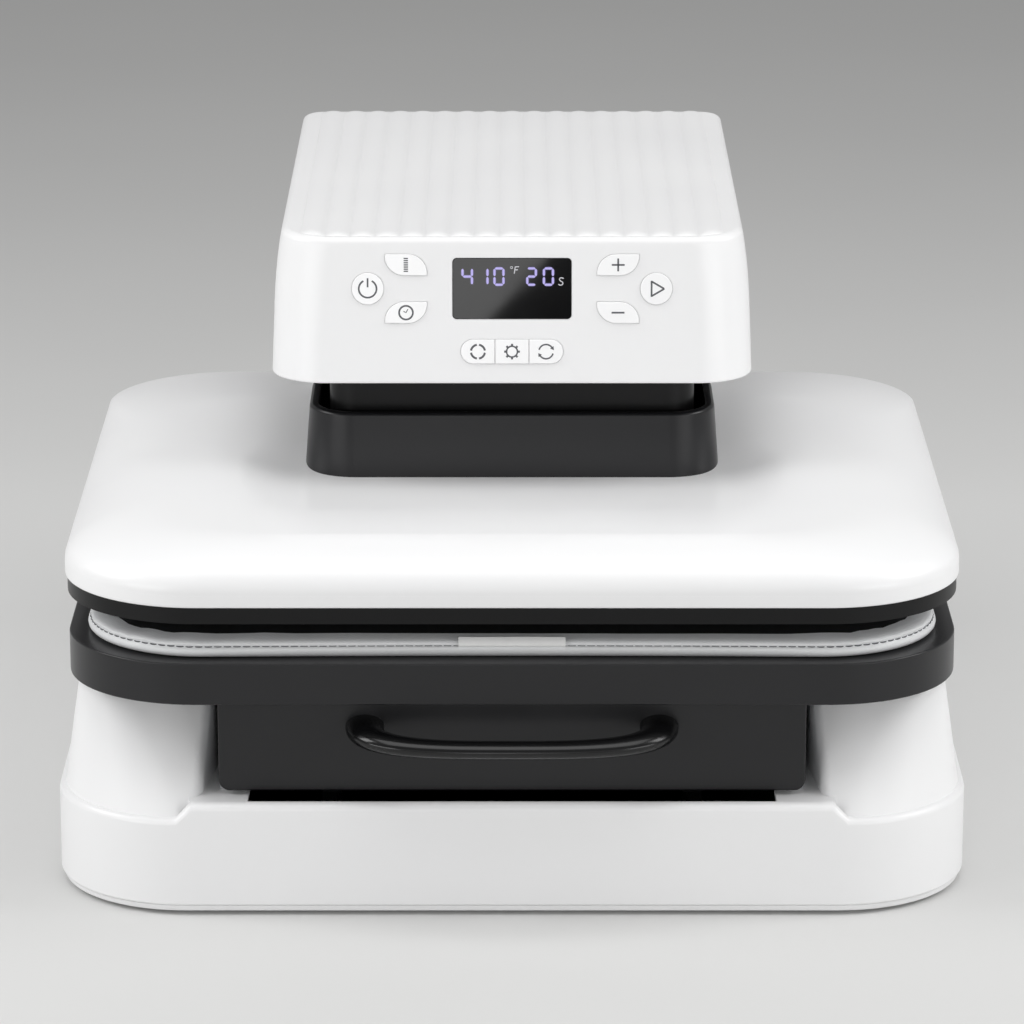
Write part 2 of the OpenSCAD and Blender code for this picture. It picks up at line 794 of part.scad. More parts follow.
// Tapered, round-shouldered body of the head
module head_form(inset, z0) {
    top = head_top - inset;
    bevel = head_bevel - inset;
    hull() {
        head_level(z0, inset, 0);
        for (a = [0, 30, 60, 90])
            head_level(top - bevel * (1 - sin(a)) - skin, inset, head_draft + bevel * (1 - cos(a)));
    }
}

// Reeds along the top, as one fluted sheet
reed_steps = 6;
module reeds() {
    half = head_w / 2 - head_draft - head_bevel;
    count = 2 * floor(half / reed_pitch - 0.5) + 1;
    start = head_y + (head_top - head_z) * tan(panel_tilt) + head_bevel;
    front_profile(start, base_d - head_draft - head_bevel - start) translate([0, head_top]) polygon(concat(
        [[count * reed_pitch / 2, -skin - wall / 2], [-count * reed_pitch / 2, -skin - wall / 2]],
        [
            for (i = [0 : count - 1], k = [0 : reed_steps - 1])
                let(t = k / reed_steps) [(i - count / 2 + t) * reed_pitch, reed_h * (1 - pow(2 * t - 1, 2))]
        ],
        [[count * reed_pitch / 2, 0]]
    ));
}

// A place on the control panel: u across, v up the panel, and z out of it
module on_panel(u, v) {
    translate([u, head_y + v * sin(panel_tilt), head_z + v * cos(panel_tilt)]) rotate([90 - panel_tilt, 0, 0]) children();
}

// Leaf outline with two round corners, mirrored when flip is -1
leaf_round = 0.9;
module leaf(grow, flip) {
    w = leaf_w + 2 * grow;
    h = leaf_h + 2 * grow;
    r = leaf_round * leaf_h + grow;
    mirror([flip < 0 ? 1 : 0, 0]) intersection() {
        square([w, h], center = true);
        leaf_half(w, h, r);
        rotate(180) leaf_half(w, h, r);
    }
}

// A half plane with one round corner, at the lower left of a leaf
module leaf_half(w, h, r) {
    translate([r - w / 2, r - h / 2]) circle(r);
    translate([r - w / 2, -h]) square([2 * w, 3 * h]);
    translate([-w, r - h / 2]) square([3 * w, 3 * h]);
}

// Pill outline that holds the three mode keys
module pill(grow) {
    r = mode_h / 2 + grow;
    half = 1.5 * mode_w + grow;
    for (s = [-1, 1]) translate([s * (half - r), 0]) circle(r);
    translate([r - half, -r]) square([2 * (half - r), 2 * r]);
}

// One of the three mode keys, cut from the pill
module mode_key(index, grow) {
    outer = 2 * abs(index);
    intersection() {
        pill(grow);
        translate([(index - 0.5) * mode_w + button_gap / 2 - (index < 0 ? outer : 0), -mode_h])
            square([mode_w - button_gap + outer, 2 * mode_h]);
    }
}

// Places and outlines of the six panel buttons, then of the mode keys
round_u = round_span / 2;
leaf_u = leaf_span / 2;
module round_shape(grow) {
    circle(round_dia / 2 + grow);
}

// A button: cap through the panel, retaining flange behind it, and a stem for its switch
module button(u, v, stem_u = 0) {
    back = wall + button_gap;
    stem_end = board_gap - switch_t - switch_gap;
    color("white") placed() on_panel(u, v) {
        translate([0, 0, -back - skin]) linear_extrude(back + button_proud + skin) children(0);
        translate([0, 0, -back - flange_t]) linear_extrude(flange_t) children(1);
        translate([stem_u, 0, -stem_end]) cylinder(r = 2, h = stem_end - back - flange_t / 2);
    }
}

// Every hole that the buttons pass through
module button_holes() {
    cut = wall + 2 * past;
    low = -wall - past;
    for (s = [-1, 1]) {
        on_panel(s * round_u, display_v) translate([0, 0, low]) linear_extrude(cut) round_shape(button_gap);
        for (r = [-1, 1]) on_panel(s * leaf_u, display_v + r * leaf_rows / 2)
            translate([0, 0, low]) linear_extrude(cut) leaf(button_gap, leaf_flip(s, r));
    }
    on_panel(0, mode_v) translate([0, 0, low]) linear_extrude(cut) pill(button_gap);
}
function leaf_flip(s, r) = -s * r;

// Posts behind the panel that carry the control board
module board_posts() {
    for (s = [-1, 1], t = [-1, 1]) on_panel(s * boss_u, board_v + t * boss_v) children();
}

module head_housing() {
    color("white") placed() difference() {
        union() {
            difference() {
                head_form(0, head_z);
                head_form(wall, head_z - past);
            }
            reeds();
            board_posts() translate([0, 0, -board_gap]) cylinder(r = boss_r, h = board_gap - wall / 2);
            pair() for (y = floor_boss_ys)
                translate([floor_boss_x, y, head_z + wall]) cylinder(r = floor_boss_r, h = floor_boss_h);
        }
        on_panel(0, display_v) {
            translate([0, 0, -lens_t]) linear_extrude(lens_t + past) lens_shape(fit_gap);
            translate([lens_step - display_w / 2, lens_step - display_h / 2, -wall - past])
                cube([display_w - 2 * lens_step, display_h - 2 * lens_step, wall + past]);
        }
        button_holes();
        board_posts() translate([0, 0, -board_gap - past]) cylinder(r = pilot_r + seat_gap, h = board_gap - wall);
        pair() for (y = floor_boss_ys)
            translate([floor_boss_x, y, head_z]) cylinder(r = screw_r + seat_gap, h = wall + screw_len);
    }
}

// Rounded outline of the display lens
module lens_shape(grow) {
    r = lens_r + grow;
    w = display_w + 2 * grow;
    h = display_h + 2 * grow;
    for (x = [-1, 1], y = [-1, 1]) translate([x * (w / 2 - r), y * (h / 2 - r)]) circle(r);
    translate([-w / 2, r - h / 2]) square([w, h - 2 * r]);
    translate([r - w / 2, -h / 2]) square([w - 2 * r, h]);
}

// Bottom of the head, open to the neck and to the column
floor_gap = 0.5;
module head_floor() {
    inset = wall + floor_gap;
    color("white") placed() difference() {
        slab(head_w - 2 * inset, head_y + inset, base_d - inset, head_r - inset, head_r - inset, head_z, wall);
        press_slab(neck_w + 2 * fit_gap, neck_d + 2 * fit_gap, neck_r + fit_gap, head_z - past, wall + 2 * past);
        block(frame_span + 2 * frame_t + 2, frame_col_y - 1, frame_col_d + 2, head_z - past, wall + 2 * past);
        pair() for (y = floor_boss_ys) translate([floor_boss_x, y, head_z - past]) {
            cylinder(r = screw_r + fit_gap, h = wall + 2 * past);
            cylinder(r = screw_head_r + fit_gap, h = past + screw_head_t);
        }
    }
}

module floor_screws() {
    color("gray") placed() pair() for (y = floor_boss_ys) translate([floor_boss_x, y, head_z]) screw_up(screw_len);
}

// Sleeve that hangs from the head into the collar
collar_taper = 3;
neck_w = collar_w - 2 * (collar_taper + collar_wall + neck_gap);
neck_d = collar_d - 2 * (collar_taper + collar_wall + neck_gap);
neck_r = collar_r - collar_wall - neck_gap - collar_taper;
neck_lap = 11;
neck_wall = 3;
neck_lip = 5;
neck_lip_t = 2.5;
module neck_sleeve() {
    bottom = collar_top - neck_lap;
    top = head_z + wall + neck_lip_t;
    color([0.15, 0.15, 0.15]) placed() difference() {
        union() {
            press_slab(neck_w, neck_d, neck_r, bottom, top - bottom);
            press_slab(neck_w + 2 * neck_lip, neck_d + 2 * neck_lip, neck_r + neck_lip, head_z + wall, neck_lip_t);
        }
        press_slab(neck_w - 2 * neck_wall, neck_d - 2 * neck_wall, neck_r - neck_wall, bottom - past,
            top - bottom + 2 * past);
    }
}

// Steel plate between the frame arms that holds the bushes and the bearing
module crosshead_plate() {
    color("slategray") placed() difference() {
        block(frame_span, press_y - cross_d / 2, cross_d, cross_z, cross_t);
        translate([0, press_y, cross_z - past]) {
            cylinder(r = bearing_r + seat_gap, h = cross_t + 2 * past);
            pair() translate([rod_span / 2, 0, 0]) cylinder(r = bush_r + seat_gap, h = cross_t + 2 * past);
        }
    }
}

module guide_bushes() {
    color("darkgoldenrod") placed() pair() translate([rod_span / 2, press_y, cross_z]) difference() {
        union() {
            translate([0, 0, -bush_flange_t]) cylinder(r = bush_flange_r, h = bush_flange_t);
            cylinder(r = bush_r, h = cross_t + 6);
        }
        translate([0, 0, -bush_flange_t - past]) cylinder(r = rod_dia / 2 + run_gap, h = cross_t + 6 + bush_flange_t + 2 * past);
    }
}

module screw_bearing() {
    color("lightsteelblue") placed() translate([0, press_y, cross_z]) difference() {
        union() {
            translate([0, 0, -bearing_flange_t]) cylinder(r = bearing_r + 3, h = bearing_flange_t);
            cylinder(r = bearing_r, h = cross_t);
        }
        translate([0, 0, -bearing_flange_t - past])
            cylinder(r = screw_dia / 2 + run_gap, h = cross_t + bearing_flange_t + 2 * past);
    }
}

// Worm gearbox on the crosshead, with the motor lying behind it
module gearbox_housing() {
    color("gray") placed() difference() {
        slab(gearbox_w, press_y - gearbox_d / 2, press_y + gearbox_d / 2, 8, 8, gearbox_z, gearbox_h);
        translate([0, press_y, gearbox_z - past]) cylinder(r = screw_dia / 2 + run_gap, h = screw_entry + 2 * past);
    }
}

module drive_motor() {
    color("silver") placed() translate([0, press_y + gearbox_d / 2, gearbox_z + gearbox_h / 2])
        rotate([-90, 0, 0]) rotate_extrude() polygon([
            [0, 0], [motor_dia / 4, 0], [motor_dia / 4, 4], [motor_dia / 2, 4], [motor_dia / 2, motor_len - 8],
            [motor_dia / 2 - 3, motor_len - 5], [motor_dia / 4, motor_len - 5], [motor_dia / 4, motor_len], [0, motor_len]
        ]);
}

// Board behind the panel, on the four posts
module control_board() {
    color("darkgreen") placed() difference() {
        on_panel(0, board_v) translate([-board_w / 2, -board_h / 2, -board_gap - board_t]) cube([board_w, board_h, board_t]);
        board_posts() translate([0, 0, -board_gap - board_t - past]) cylinder(r = pilot_r + fit_gap, h = board_t + 2 * past);
    }
}

module board_screws() {
    color("gray") placed() board_posts() translate([0, 0, -board_gap - board_t]) {
        translate([0, 0, -screw_head_t]) cylinder(r = 2.6, h = screw_head_t);
        cylinder(r = pilot_r, h = board_t + 6);
    }
}

// Nine push switches under the button stems
module tact_switches() {
    color("dimgray") placed() {
        for (s = [-1, 1]) {
            on_panel(s * round_u, display_v) tact_switch();
            for (r = [-1, 1]) on_panel(s * leaf_u, display_v + r * leaf_rows / 2) tact_switch();
        }
        for (i = [-1, 0, 1]) on_panel(i * mode_w, mode_v) tact_switch();
    }
}

module tact_switch() {
    translate([-switch_side / 2, -switch_side / 2, -board_gap]) cube([switch_side, switch_side, switch_t]);
}

module display_module() {
    color([0.1, 0.1, 0.1]) placed() on_panel(0, display_v)
        translate([2 * lens_step - display_w / 2, 2 * lens_step - display_h / 2, -board_gap])
            cube([display_w - 4 * lens_step, display_h - 4 * lens_step, board_gap - lens_t - fit_gap]);
}

module display_lens() {
    color([0.05, 0.05, 0.05]) placed() on_panel(0, display_v)
        translate([0, 0, -lens_t]) linear_extrude(lens_t) lens_shape(0);
}

module power_button() {
    button(-round_u, display_v) {
        round_shape(0);
        round_shape(flange_lip);
    }
}

module start_button() {
    button(round_u, display_v) {
        round_shape(0);
        round_shape(flange_lip);
    }
}

module leaf_button(s, r) {
    button(s * leaf_u, display_v + r * leaf_rows / 2) {
        leaf(0, leaf_flip(s, r));
        leaf(flange_lip, leaf_flip(s, r));
    }
}

module temperature_button() {
    leaf_button(-1, 1);
}

module timer_button() {
    leaf_button(-1, -1);
}

module plus_button() {
    leaf_button(1, 1);
}

module minus_button() {
    leaf_button(1, -1);
}

module mode_button(index) {
    button(0, mode_v, index * mode_w) {
        mode_key(index, 0);
        mode_key(index, flange_lip);
    }
}

module mode_key_left() {
    mode_button(-1);
}

module mode_key_middle() {
    mode_button(0);
}

module mode_key_right() {
    mode_button(1);
}

// Lead screw with its thrust shoulder under the bearing
module lead_screw() {
    r = screw_dia / 2;
    shoulder_top = cross_z - bearing_flange_t - 0.3;
    color("lightsteelblue") placed() translate([0, press_y, 0]) rotate_extrude() polygon([
        [0, screw_bottom], [r - 1, screw_bottom], [r, screw_bottom + 1], [r, shoulder_top - 4], [r + 4, shoulder_top - 4],
        [r + 4, shoulder_top], [r, shoulder_top], [r, gearbox_z + screw_entry], [0, gearbox_z + screw_entry]
    ]);
}

// Low pillow of the platen cover: upright edge, then a crown that falls away further at the back
crown_front = 36;
crown_side = 44;
crown_back = 115;
crown_levels = 8;
cover_edge = 5.5;
cover_tuck = 1;
module crown_level(z, inset, t) {
    bow = 1 - sqrt(1 - t * t);
    side = inset + crown_side * bow;
    front = inset + crown_front * bow;
    back = inset + crown_back * pow(t, 1.3);
    r = platen_r - inset - 0.3 * crown_side * bow;
    slab(platen_w - 2 * side, press_y - platen_d / 2 + front, press_y + platen_d / 2 - back, r, r, z, skin, $fn = loft_fn);
}

module cover_form(inset, z0) {
    rise = cover_h - cover_edge - inset;
    hull() {
        crown_level(z0, inset + cover_tuck, 0);
        for (k = [0 : crown_levels - 1]) let(t = sin(84 * k / (crown_levels - 1)))
            crown_level(cover_z + cover_edge + rise * t - skin, inset, t);
    }
}

// Shallow pocket round the collar, whose floor runs out at the front
pocket_w = 200;
pocket_floor = 15.5;
pocket_front = 44;
module pocket(grow) {
    floor_z = cover_z + pocket_floor - grow;
    top = cover_top + past;
    ramp_end = press_y - collar_d / 2 - 2;
    side_profile(pocket_w + 2 * grow) polygon([
        [pocket_front, cover_top - grow], [ramp_end, floor_z], [press_y + platen_d, floor_z],
        [press_y + platen_d, top], [pocket_front, top]
    ]);
}

collar_slit = 0.6;
module platen_cover() {
    color("white") placed() difference() {
        cover_form(0, cover_z);
        pocket(0);
        difference() {
            cover_form(cover_wall, cover_z - past);
            pocket(cover_wall);
        }
        press_slab(collar_w + 2 * collar_slit, collar_d + 2 * collar_slit, collar_r + collar_slit, cover_z, 2 * cover_h);
    }
}

// Dark rim round the heat plate, with the ledge that carries the cover
plate_gap = 1;
rim_lip = 9.5;
rim_lip_t = 3;
module platen_rim() {
    inner = press_side + 2 * plate_gap;
    upstand = 2 * (cover_wall + cover_tuck + fit_gap);
    upstand_w = platen_w - upstand;
    upstand_d = platen_d - upstand;
    upstand_r = platen_r - upstand / 2;
    color([0.15, 0.15, 0.15]) placed() difference() {
        union() {
            press_slab(platen_w - 2 * cover_tuck, platen_d - 2 * cover_tuck, platen_r - cover_tuck, rim_z, rim_h);
            press_slab(upstand_w, upstand_d, upstand_r, cover_z - skin, backing_z - cover_z + skin);
        }
        press_slab(inner, inner, press_r + plate_gap, rim_z - past, backing_z - rim_lip_t - rim_z + past);
        press_slab(press_side - 2 * rim_lip, press_side - 2 * rim_lip, press_r - rim_lip, rim_z, 4 * rim_h);
        platen_screw_places() cylinder(r = screw_r + seat_gap, h = 4 * rim_h, center = true);
    }
}

// Eight screws through the backing plate into the rim
screw_ring = press_side / 2 - rim_lip / 2;
module platen_screw_places() {
    for (s = [-1, 1], t = [-1, 1]) {
        translate([s * screw_ring, press_y + t * screw_ring / 3, backing_top]) children();
        translate([s * screw_ring / 3, press_y + t * screw_ring, backing_top]) children();
    }
}

module platen_screws() {
    color("gray") placed() platen_screw_places() {
        cylinder(r = screw_head_r, h = screw_head_t);
        translate([0, 0, -backing_t - rim_lip_t]) cylinder(r = screw_r, h = backing_t + rim_lip_t);
    }
}

// Groove of the heating element, seen from above
element_side = 290;
element_r = 50;
element_w = 8;
element_t = 5;
module element_path(grow) {
    outer = element_side + 2 * grow;
    inner = element_side - 2 * element_w - 2 * grow;
    difference() {
        plan(outer, press_y - outer / 2, press_y + outer / 2, element_r + grow, element_r + grow);
        plan(inner, press_y - inner / 2, press_y + inner / 2, element_r - element_w - grow, element_r - element_w - grow);
        translate([-8 + grow, press_y + element_side / 2 - 2 * element_w]) square([16 - 2 * grow, 4 * element_w]);
    }
}

module heat_plate() {
    color("silver") placed() difference() {
        press_slab(press_side, press_side, press_r, plate_z, plate_t);
        translate([0, 0, insul_z - element_t]) linear_extrude(element_t + past) element_path(fit_gap);
    }
}

module heating_element() {
    color("darkgray") placed() translate([0, 0, insul_z - element_t]) linear_extrude(element_t) element_path(0);
}

cutout_r = 8;
cutout_y = 60;
module thermal_cutout() {
    color("tan") placed() translate([0, press_y + cutout_y, insul_z]) {
        cylinder(r = cutout_r, h = insul_t - 1.5);
        translate([-3, -12, 0]) cube([6, 24, 1]);
    }
}

insul_inset = 11;
module insulation_board() {
    side = press_side - 2 * insul_inset;
    color("khaki") placed() difference() {
        press_slab(side, side, press_r - insul_inset, insul_z, insul_t);
        translate([0, press_y + cutout_y, insul_z - past]) cylinder(r = 14, h = insul_t + 2 * past);
    }
}

module backing_plate() {
    color("lightslategray") placed() difference() {
        press_slab(press_side - 4, press_side - 4, press_r - 2, backing_z, backing_t);
        platen_screw_places() cylinder(r = screw_r + fit_gap, h = 4 * backing_t, center = true);
    }
}

// Tapered collar that stands on the backing plate and takes the neck
collar_foot = 6;
collar_foot_t = 3;
module collar() {
    inner_w = collar_w - 2 * (collar_taper + collar_wall);
    inner_d = collar_d - 2 * (collar_taper + collar_wall);
    inner_r = collar_r - collar_taper - collar_wall;
    color([0.2, 0.2, 0.2]) placed() difference() {
        hull() {
            press_slab(collar_w, collar_d, collar_r, backing_top, skin, $fn = loft_fn);
            press_slab(collar_w - 2 * collar_taper, collar_d - 2 * collar_taper, collar_r - collar_taper, collar_top - skin,
                skin, $fn = loft_fn);
        }
        press_slab(inner_w, inner_d, inner_r, backing_top - past, collar_h + 2 * past);
    }
}

// Bridge that ties the lift nut and the guide rods to the platen
module lift_bridge() {
    color("lightgray") placed() difference() {
        slab(bridge_w, press_y - bridge_d / 2, press_y + bridge_d / 2, 10, 10, backing_top, bridge_t);
        translate([0, press_y, backing_top - past]) cylinder(r = screw_dia / 2 + 2, h = bridge_t + 2 * past);
        pair() translate([rod_span / 2, press_y, backing_top + 2]) cylinder(r = rod_dia / 2 + seat_gap, h = bridge_t);
    }
}

module lead_nut() {
    color("goldenrod") placed() translate([0, press_y, bridge_top]) difference() {
        union() {
            cylinder(r = nut_flange_r, h = nut_flange_t);
            cylinder(r = nut_r, h = nut_h);
        }
        translate([0, 0, -past]) cylinder(r = screw_dia / 2 + run_gap, h = nut_h + 2 * past);
    }
}

rod_top = cross_z + 30;
module guide_rods() {
    color("lightsteelblue") placed() pair() translate([rod_span / 2, press_y, backing_top + 2])
        cylinder(r = rod_dia / 2, h = rod_top - backing_top - 2);
}

base_housing();
base_pan();
pan_screws();
rubber_feet();
c_frame_left();
c_frame_right();
deck_beams();
column_cover();
rear_cover();
rear_screws();
power_inlet();
power_board();
outer_rails();
head_housing();
head_floor();
floor_screws();
neck_sleeve();
crosshead_plate();
guide_bushes();
screw_bearing();
gearbox_housing();
drive_motor();
control_board();
board_screws();
tact_switches();
display_module();
display_lens();
power_button();
start_button();
temperature_button();
timer_button();
plus_button();
minus_button();
mode_key_left();
mode_key_middle();
mode_key_right();
lead_screw();
platen_cover();
platen_rim();
heat_plate();
heating_element();
thermal_cutout();
insulation_board();
backing_plate();
platen_screws();
collar();
lift_bridge();
lead_nut();
guide_rods();
middle_rails();
inner_rails();
drawer_box();
drawer_handle();
drawer_tray();
press_mat();
mat_tab();
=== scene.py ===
import json
import math

import bpy
import numpy as np
from mathutils import Matrix, Vector


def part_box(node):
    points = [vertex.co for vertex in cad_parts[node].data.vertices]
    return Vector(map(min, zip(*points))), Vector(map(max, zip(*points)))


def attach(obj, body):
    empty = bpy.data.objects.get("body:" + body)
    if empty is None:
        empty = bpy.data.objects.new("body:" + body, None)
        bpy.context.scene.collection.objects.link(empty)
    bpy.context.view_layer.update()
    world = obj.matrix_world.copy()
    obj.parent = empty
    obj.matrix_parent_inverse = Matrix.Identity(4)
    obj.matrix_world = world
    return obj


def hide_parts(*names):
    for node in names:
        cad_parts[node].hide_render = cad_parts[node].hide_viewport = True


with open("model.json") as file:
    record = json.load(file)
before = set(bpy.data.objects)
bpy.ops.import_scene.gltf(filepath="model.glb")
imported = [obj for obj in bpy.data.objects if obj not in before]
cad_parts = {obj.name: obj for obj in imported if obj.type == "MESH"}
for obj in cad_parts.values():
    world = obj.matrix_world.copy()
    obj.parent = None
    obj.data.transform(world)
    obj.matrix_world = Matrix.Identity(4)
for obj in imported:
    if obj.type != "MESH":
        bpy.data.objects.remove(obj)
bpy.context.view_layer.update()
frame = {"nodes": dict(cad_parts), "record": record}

# Flat heat press: the looks of its shells, mat, buttons and display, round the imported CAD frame.
# A piece is made in millimetres: x to the right, y back from the front of the base, z up from the floor.
MM = 0.001
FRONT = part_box("base_housing")[0].y
scene = bpy.context.scene


def metres(points):
    """Millimetres from the front of the base to metres in the frame."""
    return np.asarray(points, float) * MM + np.array([0, FRONT, 0])


# Camera and light

# The photo's view: straight from the front, 15.8 degrees down and far away
CAMERA_AT, CAMERA_DOWN, CAMERA_LENS = (0, -2111.6, 783.66), 15.8, 177.9
camera = bpy.data.objects.new("camera", bpy.data.cameras.new("camera"))
camera.location = metres(CAMERA_AT)
camera.rotation_euler = (math.radians(90 - CAMERA_DOWN), 0, 0)
camera.data.lens = CAMERA_LENS
camera.data.clip_end = 50
scene.collection.objects.link(camera)
scene.camera = camera
scene.view_settings.view_transform = "Standard"


def softbox(name, at, aim, width, height, watts, spin=0):
    """A rectangular studio softbox at one place, facing another."""
    light = bpy.data.lights.new(name, "AREA")
    light.shape = "RECTANGLE"
    light.size, light.size_y = width * MM, height * MM
    light.energy = watts
    box = bpy.data.objects.new(name, light)
    start, end = Vector(metres(at)), Vector(metres(aim))
    turn = (end - start).to_track_quat("-Z", "Y") @ Matrix.Rotation(spin, 3, "Z").to_quaternion()
    box.rotation_euler = turn.to_euler()
    box.location = start
    scene.collection.objects.link(box)


# Boxes to both sides, strips in front of both corners, a large box overhead, a weak one far in front, and a small
# slanted card that the display mirrors as its glare
PRESS = (0, 200, 130)
for side, name in ((-1, "left"), (1, "right")):
    softbox(name + "_box", (side * 1250, 40, 980), PRESS, 700, 700, 8)
    softbox(name + "_strip", (side * 1060, -900, 300), PRESS, 900, 240, 3)
softbox("top_box", (0, -200, 1900), PRESS, 2000, 1200, 14)
softbox("front_box", (0, -2400, 760), PRESS, 2400, 700, 2)
softbox("low_card", (-49, -1500, 256), (0, 142, 252), 300, 150, 0.6, math.radians(46.6))
world = bpy.data.worlds.new("studio")
world.use_nodes = True
world.node_tree.nodes["Background"].inputs["Color"].default_value = (1, 1, 1, 1)
world.node_tree.nodes["Background"].inputs["Strength"].default_value = 0.32
scene.world = world


# Materials

def linear(code):
    """An sRGB hex colour as linear red, green, blue and alpha."""
    shares = [int(code[i:i + 2], 16) / 255 for i in (1, 3, 5)]
    return (*[s / 12.92 if s <= 0.04045 else ((s + 0.055) / 1.055) ** 2.4 for s in shares], 1)


def add(tree, kind, sockets=(), **settings):
    """One node with its settings; each socket gets a value, or a link from another node's socket."""
    node = tree.nodes.new(kind)
    for name, value in settings.items():
        setattr(node, name, value)
    for name, value in dict(sockets).items():
        if isinstance(value, bpy.types.NodeSocket):
            tree.links.new(value, node.inputs[name])
        else:
            node.inputs[name].default_value = value
    return node


def finish(name, colours, mottle_mm, rough, grain_mm, grain_depth, stretch=(1, 1, 1), **fixed):
    """A surface whose colour drifts between two hex values over mottle_mm, with roughness from rough[0] to rough[1] and a
    relief of grains grain_mm wide and grain_depth mm deep. fixed goes on the shader's own sockets."""
    material = bpy.data.materials.new(name)
    material.use_nodes = True
    tree = material.node_tree
    shader = tree.nodes["Principled BSDF"]
    for socket, value in fixed.items():
        shader.inputs[socket.replace("_", " ")].default_value = value
    place = add(tree, "ShaderNodeTexCoord").outputs["Object"]
    place = add(tree, "ShaderNodeMapping", {"Vector": place, "Scale": stretch}).outputs["Vector"]
    drift = add(tree, "ShaderNodeTexNoise", {"Vector": place, "Scale": 1000 / mottle_mm, "Detail": 3.0})
    grain = add(tree, "ShaderNodeTexNoise", {"Vector": place, "Scale": 1000 / grain_mm, "Detail": 2.0, "Roughness": 0.55})
    mix = add(tree, "ShaderNodeMix", {"Factor": drift.outputs["Fac"]}, data_type="RGBA")
    mix.inputs["A"].default_value, mix.inputs["B"].default_value = linear(colours[0]), linear(colours[1])
    tree.links.new(mix.outputs["Result"], shader.inputs["Base Color"])
    gloss = add(tree, "ShaderNodeMapRange", {"Value": drift.outputs["Fac"], "From Min": 0.3, "From Max": 0.7,
                                             "To Min": rough[0], "To Max": rough[1]})
    tree.links.new(gloss.outputs["Result"], shader.inputs["Roughness"])
    relief = add(tree, "ShaderNodeBump", {"Height": grain.outputs["Fac"], "Strength": 1.0, "Distance": grain_depth * MM})
    tree.links.new(relief.outputs["Normal"], shader.inputs["Normal"])
    return material


# Moulded ABS from a lightly spark-eroded tool: satin white, with a soft broad highlight and no visible flow marks.
# The tool's grain is about 0.05 mm; it is drawn at 0.5 mm so that it shows.
white_abs = finish("white_abs_satin_moulded", ("#f1f1f2", "#f4f4f4"), 90, (0.30, 0.36), 0.5, 0.0015, IOR=1.53)
# The key caps come from a polished tool: whiter and smoother than the panel round them.
key_abs = finish("white_abs_polished_caps", ("#fafafb", "#fdfdfd"), 12, (0.18, 0.24), 0.4, 0.0006, IOR=1.53)
# Glass-filled nylon from an eroded tool: charcoal, dull, with a broad grey sheen where it turns to the light.
# Its grain is about 0.1 mm, drawn at 0.6 mm.
charcoal_nylon = finish("charcoal_nylon_eroded_moulded", ("#19191b", "#1d1d1f"), 60, (0.28, 0.33), 0.6, 0.003, IOR=1.5,
                        Specular_IOR_Level=0.4)
# The same nylon as the charcoal, darkened with painted shade: deeper than the charcoal and with a weaker shine, for the
# rim under the cover and the neck under the head.
nylon_painted_shade = finish("charcoal_nylon_painted_shade", ("#0a0a0b", "#0d0d0e"), 60, (0.32, 0.38), 0.6, 0.002, IOR=1.5,
                     Specular_IOR_Level=0.25)
# Black ABS from a draw-polished tool: a satin black whose highlights are narrow and soft-edged.
gloss_abs = finish("black_abs_draw_polished", ("#0a0a0b", "#0d0d0e"), 40, (0.18, 0.24), 0.8, 0.0004, IOR=1.53,
                   Specular_IOR_Level=0.4)
# Tempered display glass over a black print: deep black with sharp reflections.
display_glass = finish("display_glass_black_backed", ("#040405", "#070708"), 25, (0.03, 0.05), 3.0, 0.0001, IOR=1.52,
                       Specular_IOR_Level=0.25)
# Dull black moulding of the switches and the display's back.
black_pbt = finish("black_pbt_moulded", ("#161617", "#1c1c1d"), 8, (0.5, 0.6), 0.5, 0.004, IOR=1.57)
# Fibreglass board under green solder mask: glassy green with the weave just showing, drawn at 0.9 mm.
board_mask = finish("fibreglass_green_solder_mask", ("#0d3a1e", "#155029"), 6, (0.28, 0.36), 0.9, 0.01, IOR=1.55)
# Nitrile rubber: black grey and dull.
nitrile = finish("nitrile_rubber_moulded", ("#161616", "#202020"), 10, (0.7, 0.8), 0.5, 0.01, IOR=1.52)
# Milled aluminium: pale grey with the cutter's lines along one way, drawn 0.8 mm apart.
milled_alloy = finish("aluminium_milled", ("#b4b5b7", "#c2c3c5"), 30, (0.28, 0.36), 0.8, 0.004, (0.1, 1, 1),
                      Metallic=1.0)
# Powder paint on steel plate: black grey with a fine orange peel, about 2 mm across.
powder_steel = finish("steel_black_powder_coat", ("#1e1f21", "#242527"), 45, (0.42, 0.5), 2.0, 0.02, IOR=1.5)
# Zinc plate on rolled steel: bright bluish grey with rolling lines along its length, drawn 0.6 mm apart.
zinc_plate = finish("steel_zinc_plated_rolled", ("#c3c5c8", "#d0d1d2"), 18, (0.24, 0.34), 0.6, 0.003, (1, 0.06, 1),
                    Metallic=1.0)
# Ground shaft steel: near mirror, with fine rings round it, drawn 0.5 mm apart.
ground_steel = finish("bearing_steel_ground", ("#c9cacb", "#d4d5d5"), 14, (0.14, 0.2), 0.5, 0.001, (0.05, 0.05, 1),
                      Metallic=1.0)
# Turned bronze: warm yellow brown with tool rings, drawn 0.5 mm apart.
turned_bronze = finish("bronze_turned", ("#b8853f", "#c79a55"), 9, (0.25, 0.34), 0.5, 0.003, (0.05, 0.05, 1),
                       Metallic=1.0)
# Die-cast aluminium: grey, slightly rough skin of about 1 mm pits.
cast_alloy = finish("aluminium_die_cast", ("#9b9da0", "#a8aaac"), 14, (0.42, 0.52), 1.0, 0.02, Metallic=1.0)
# Oxidised nickel alloy: brown grey and dull where it has been hot.
hot_nickel = finish("nickel_alloy_oxidised", ("#7d746a", "#8f8678"), 7, (0.42, 0.55), 0.6, 0.006, Metallic=1.0)
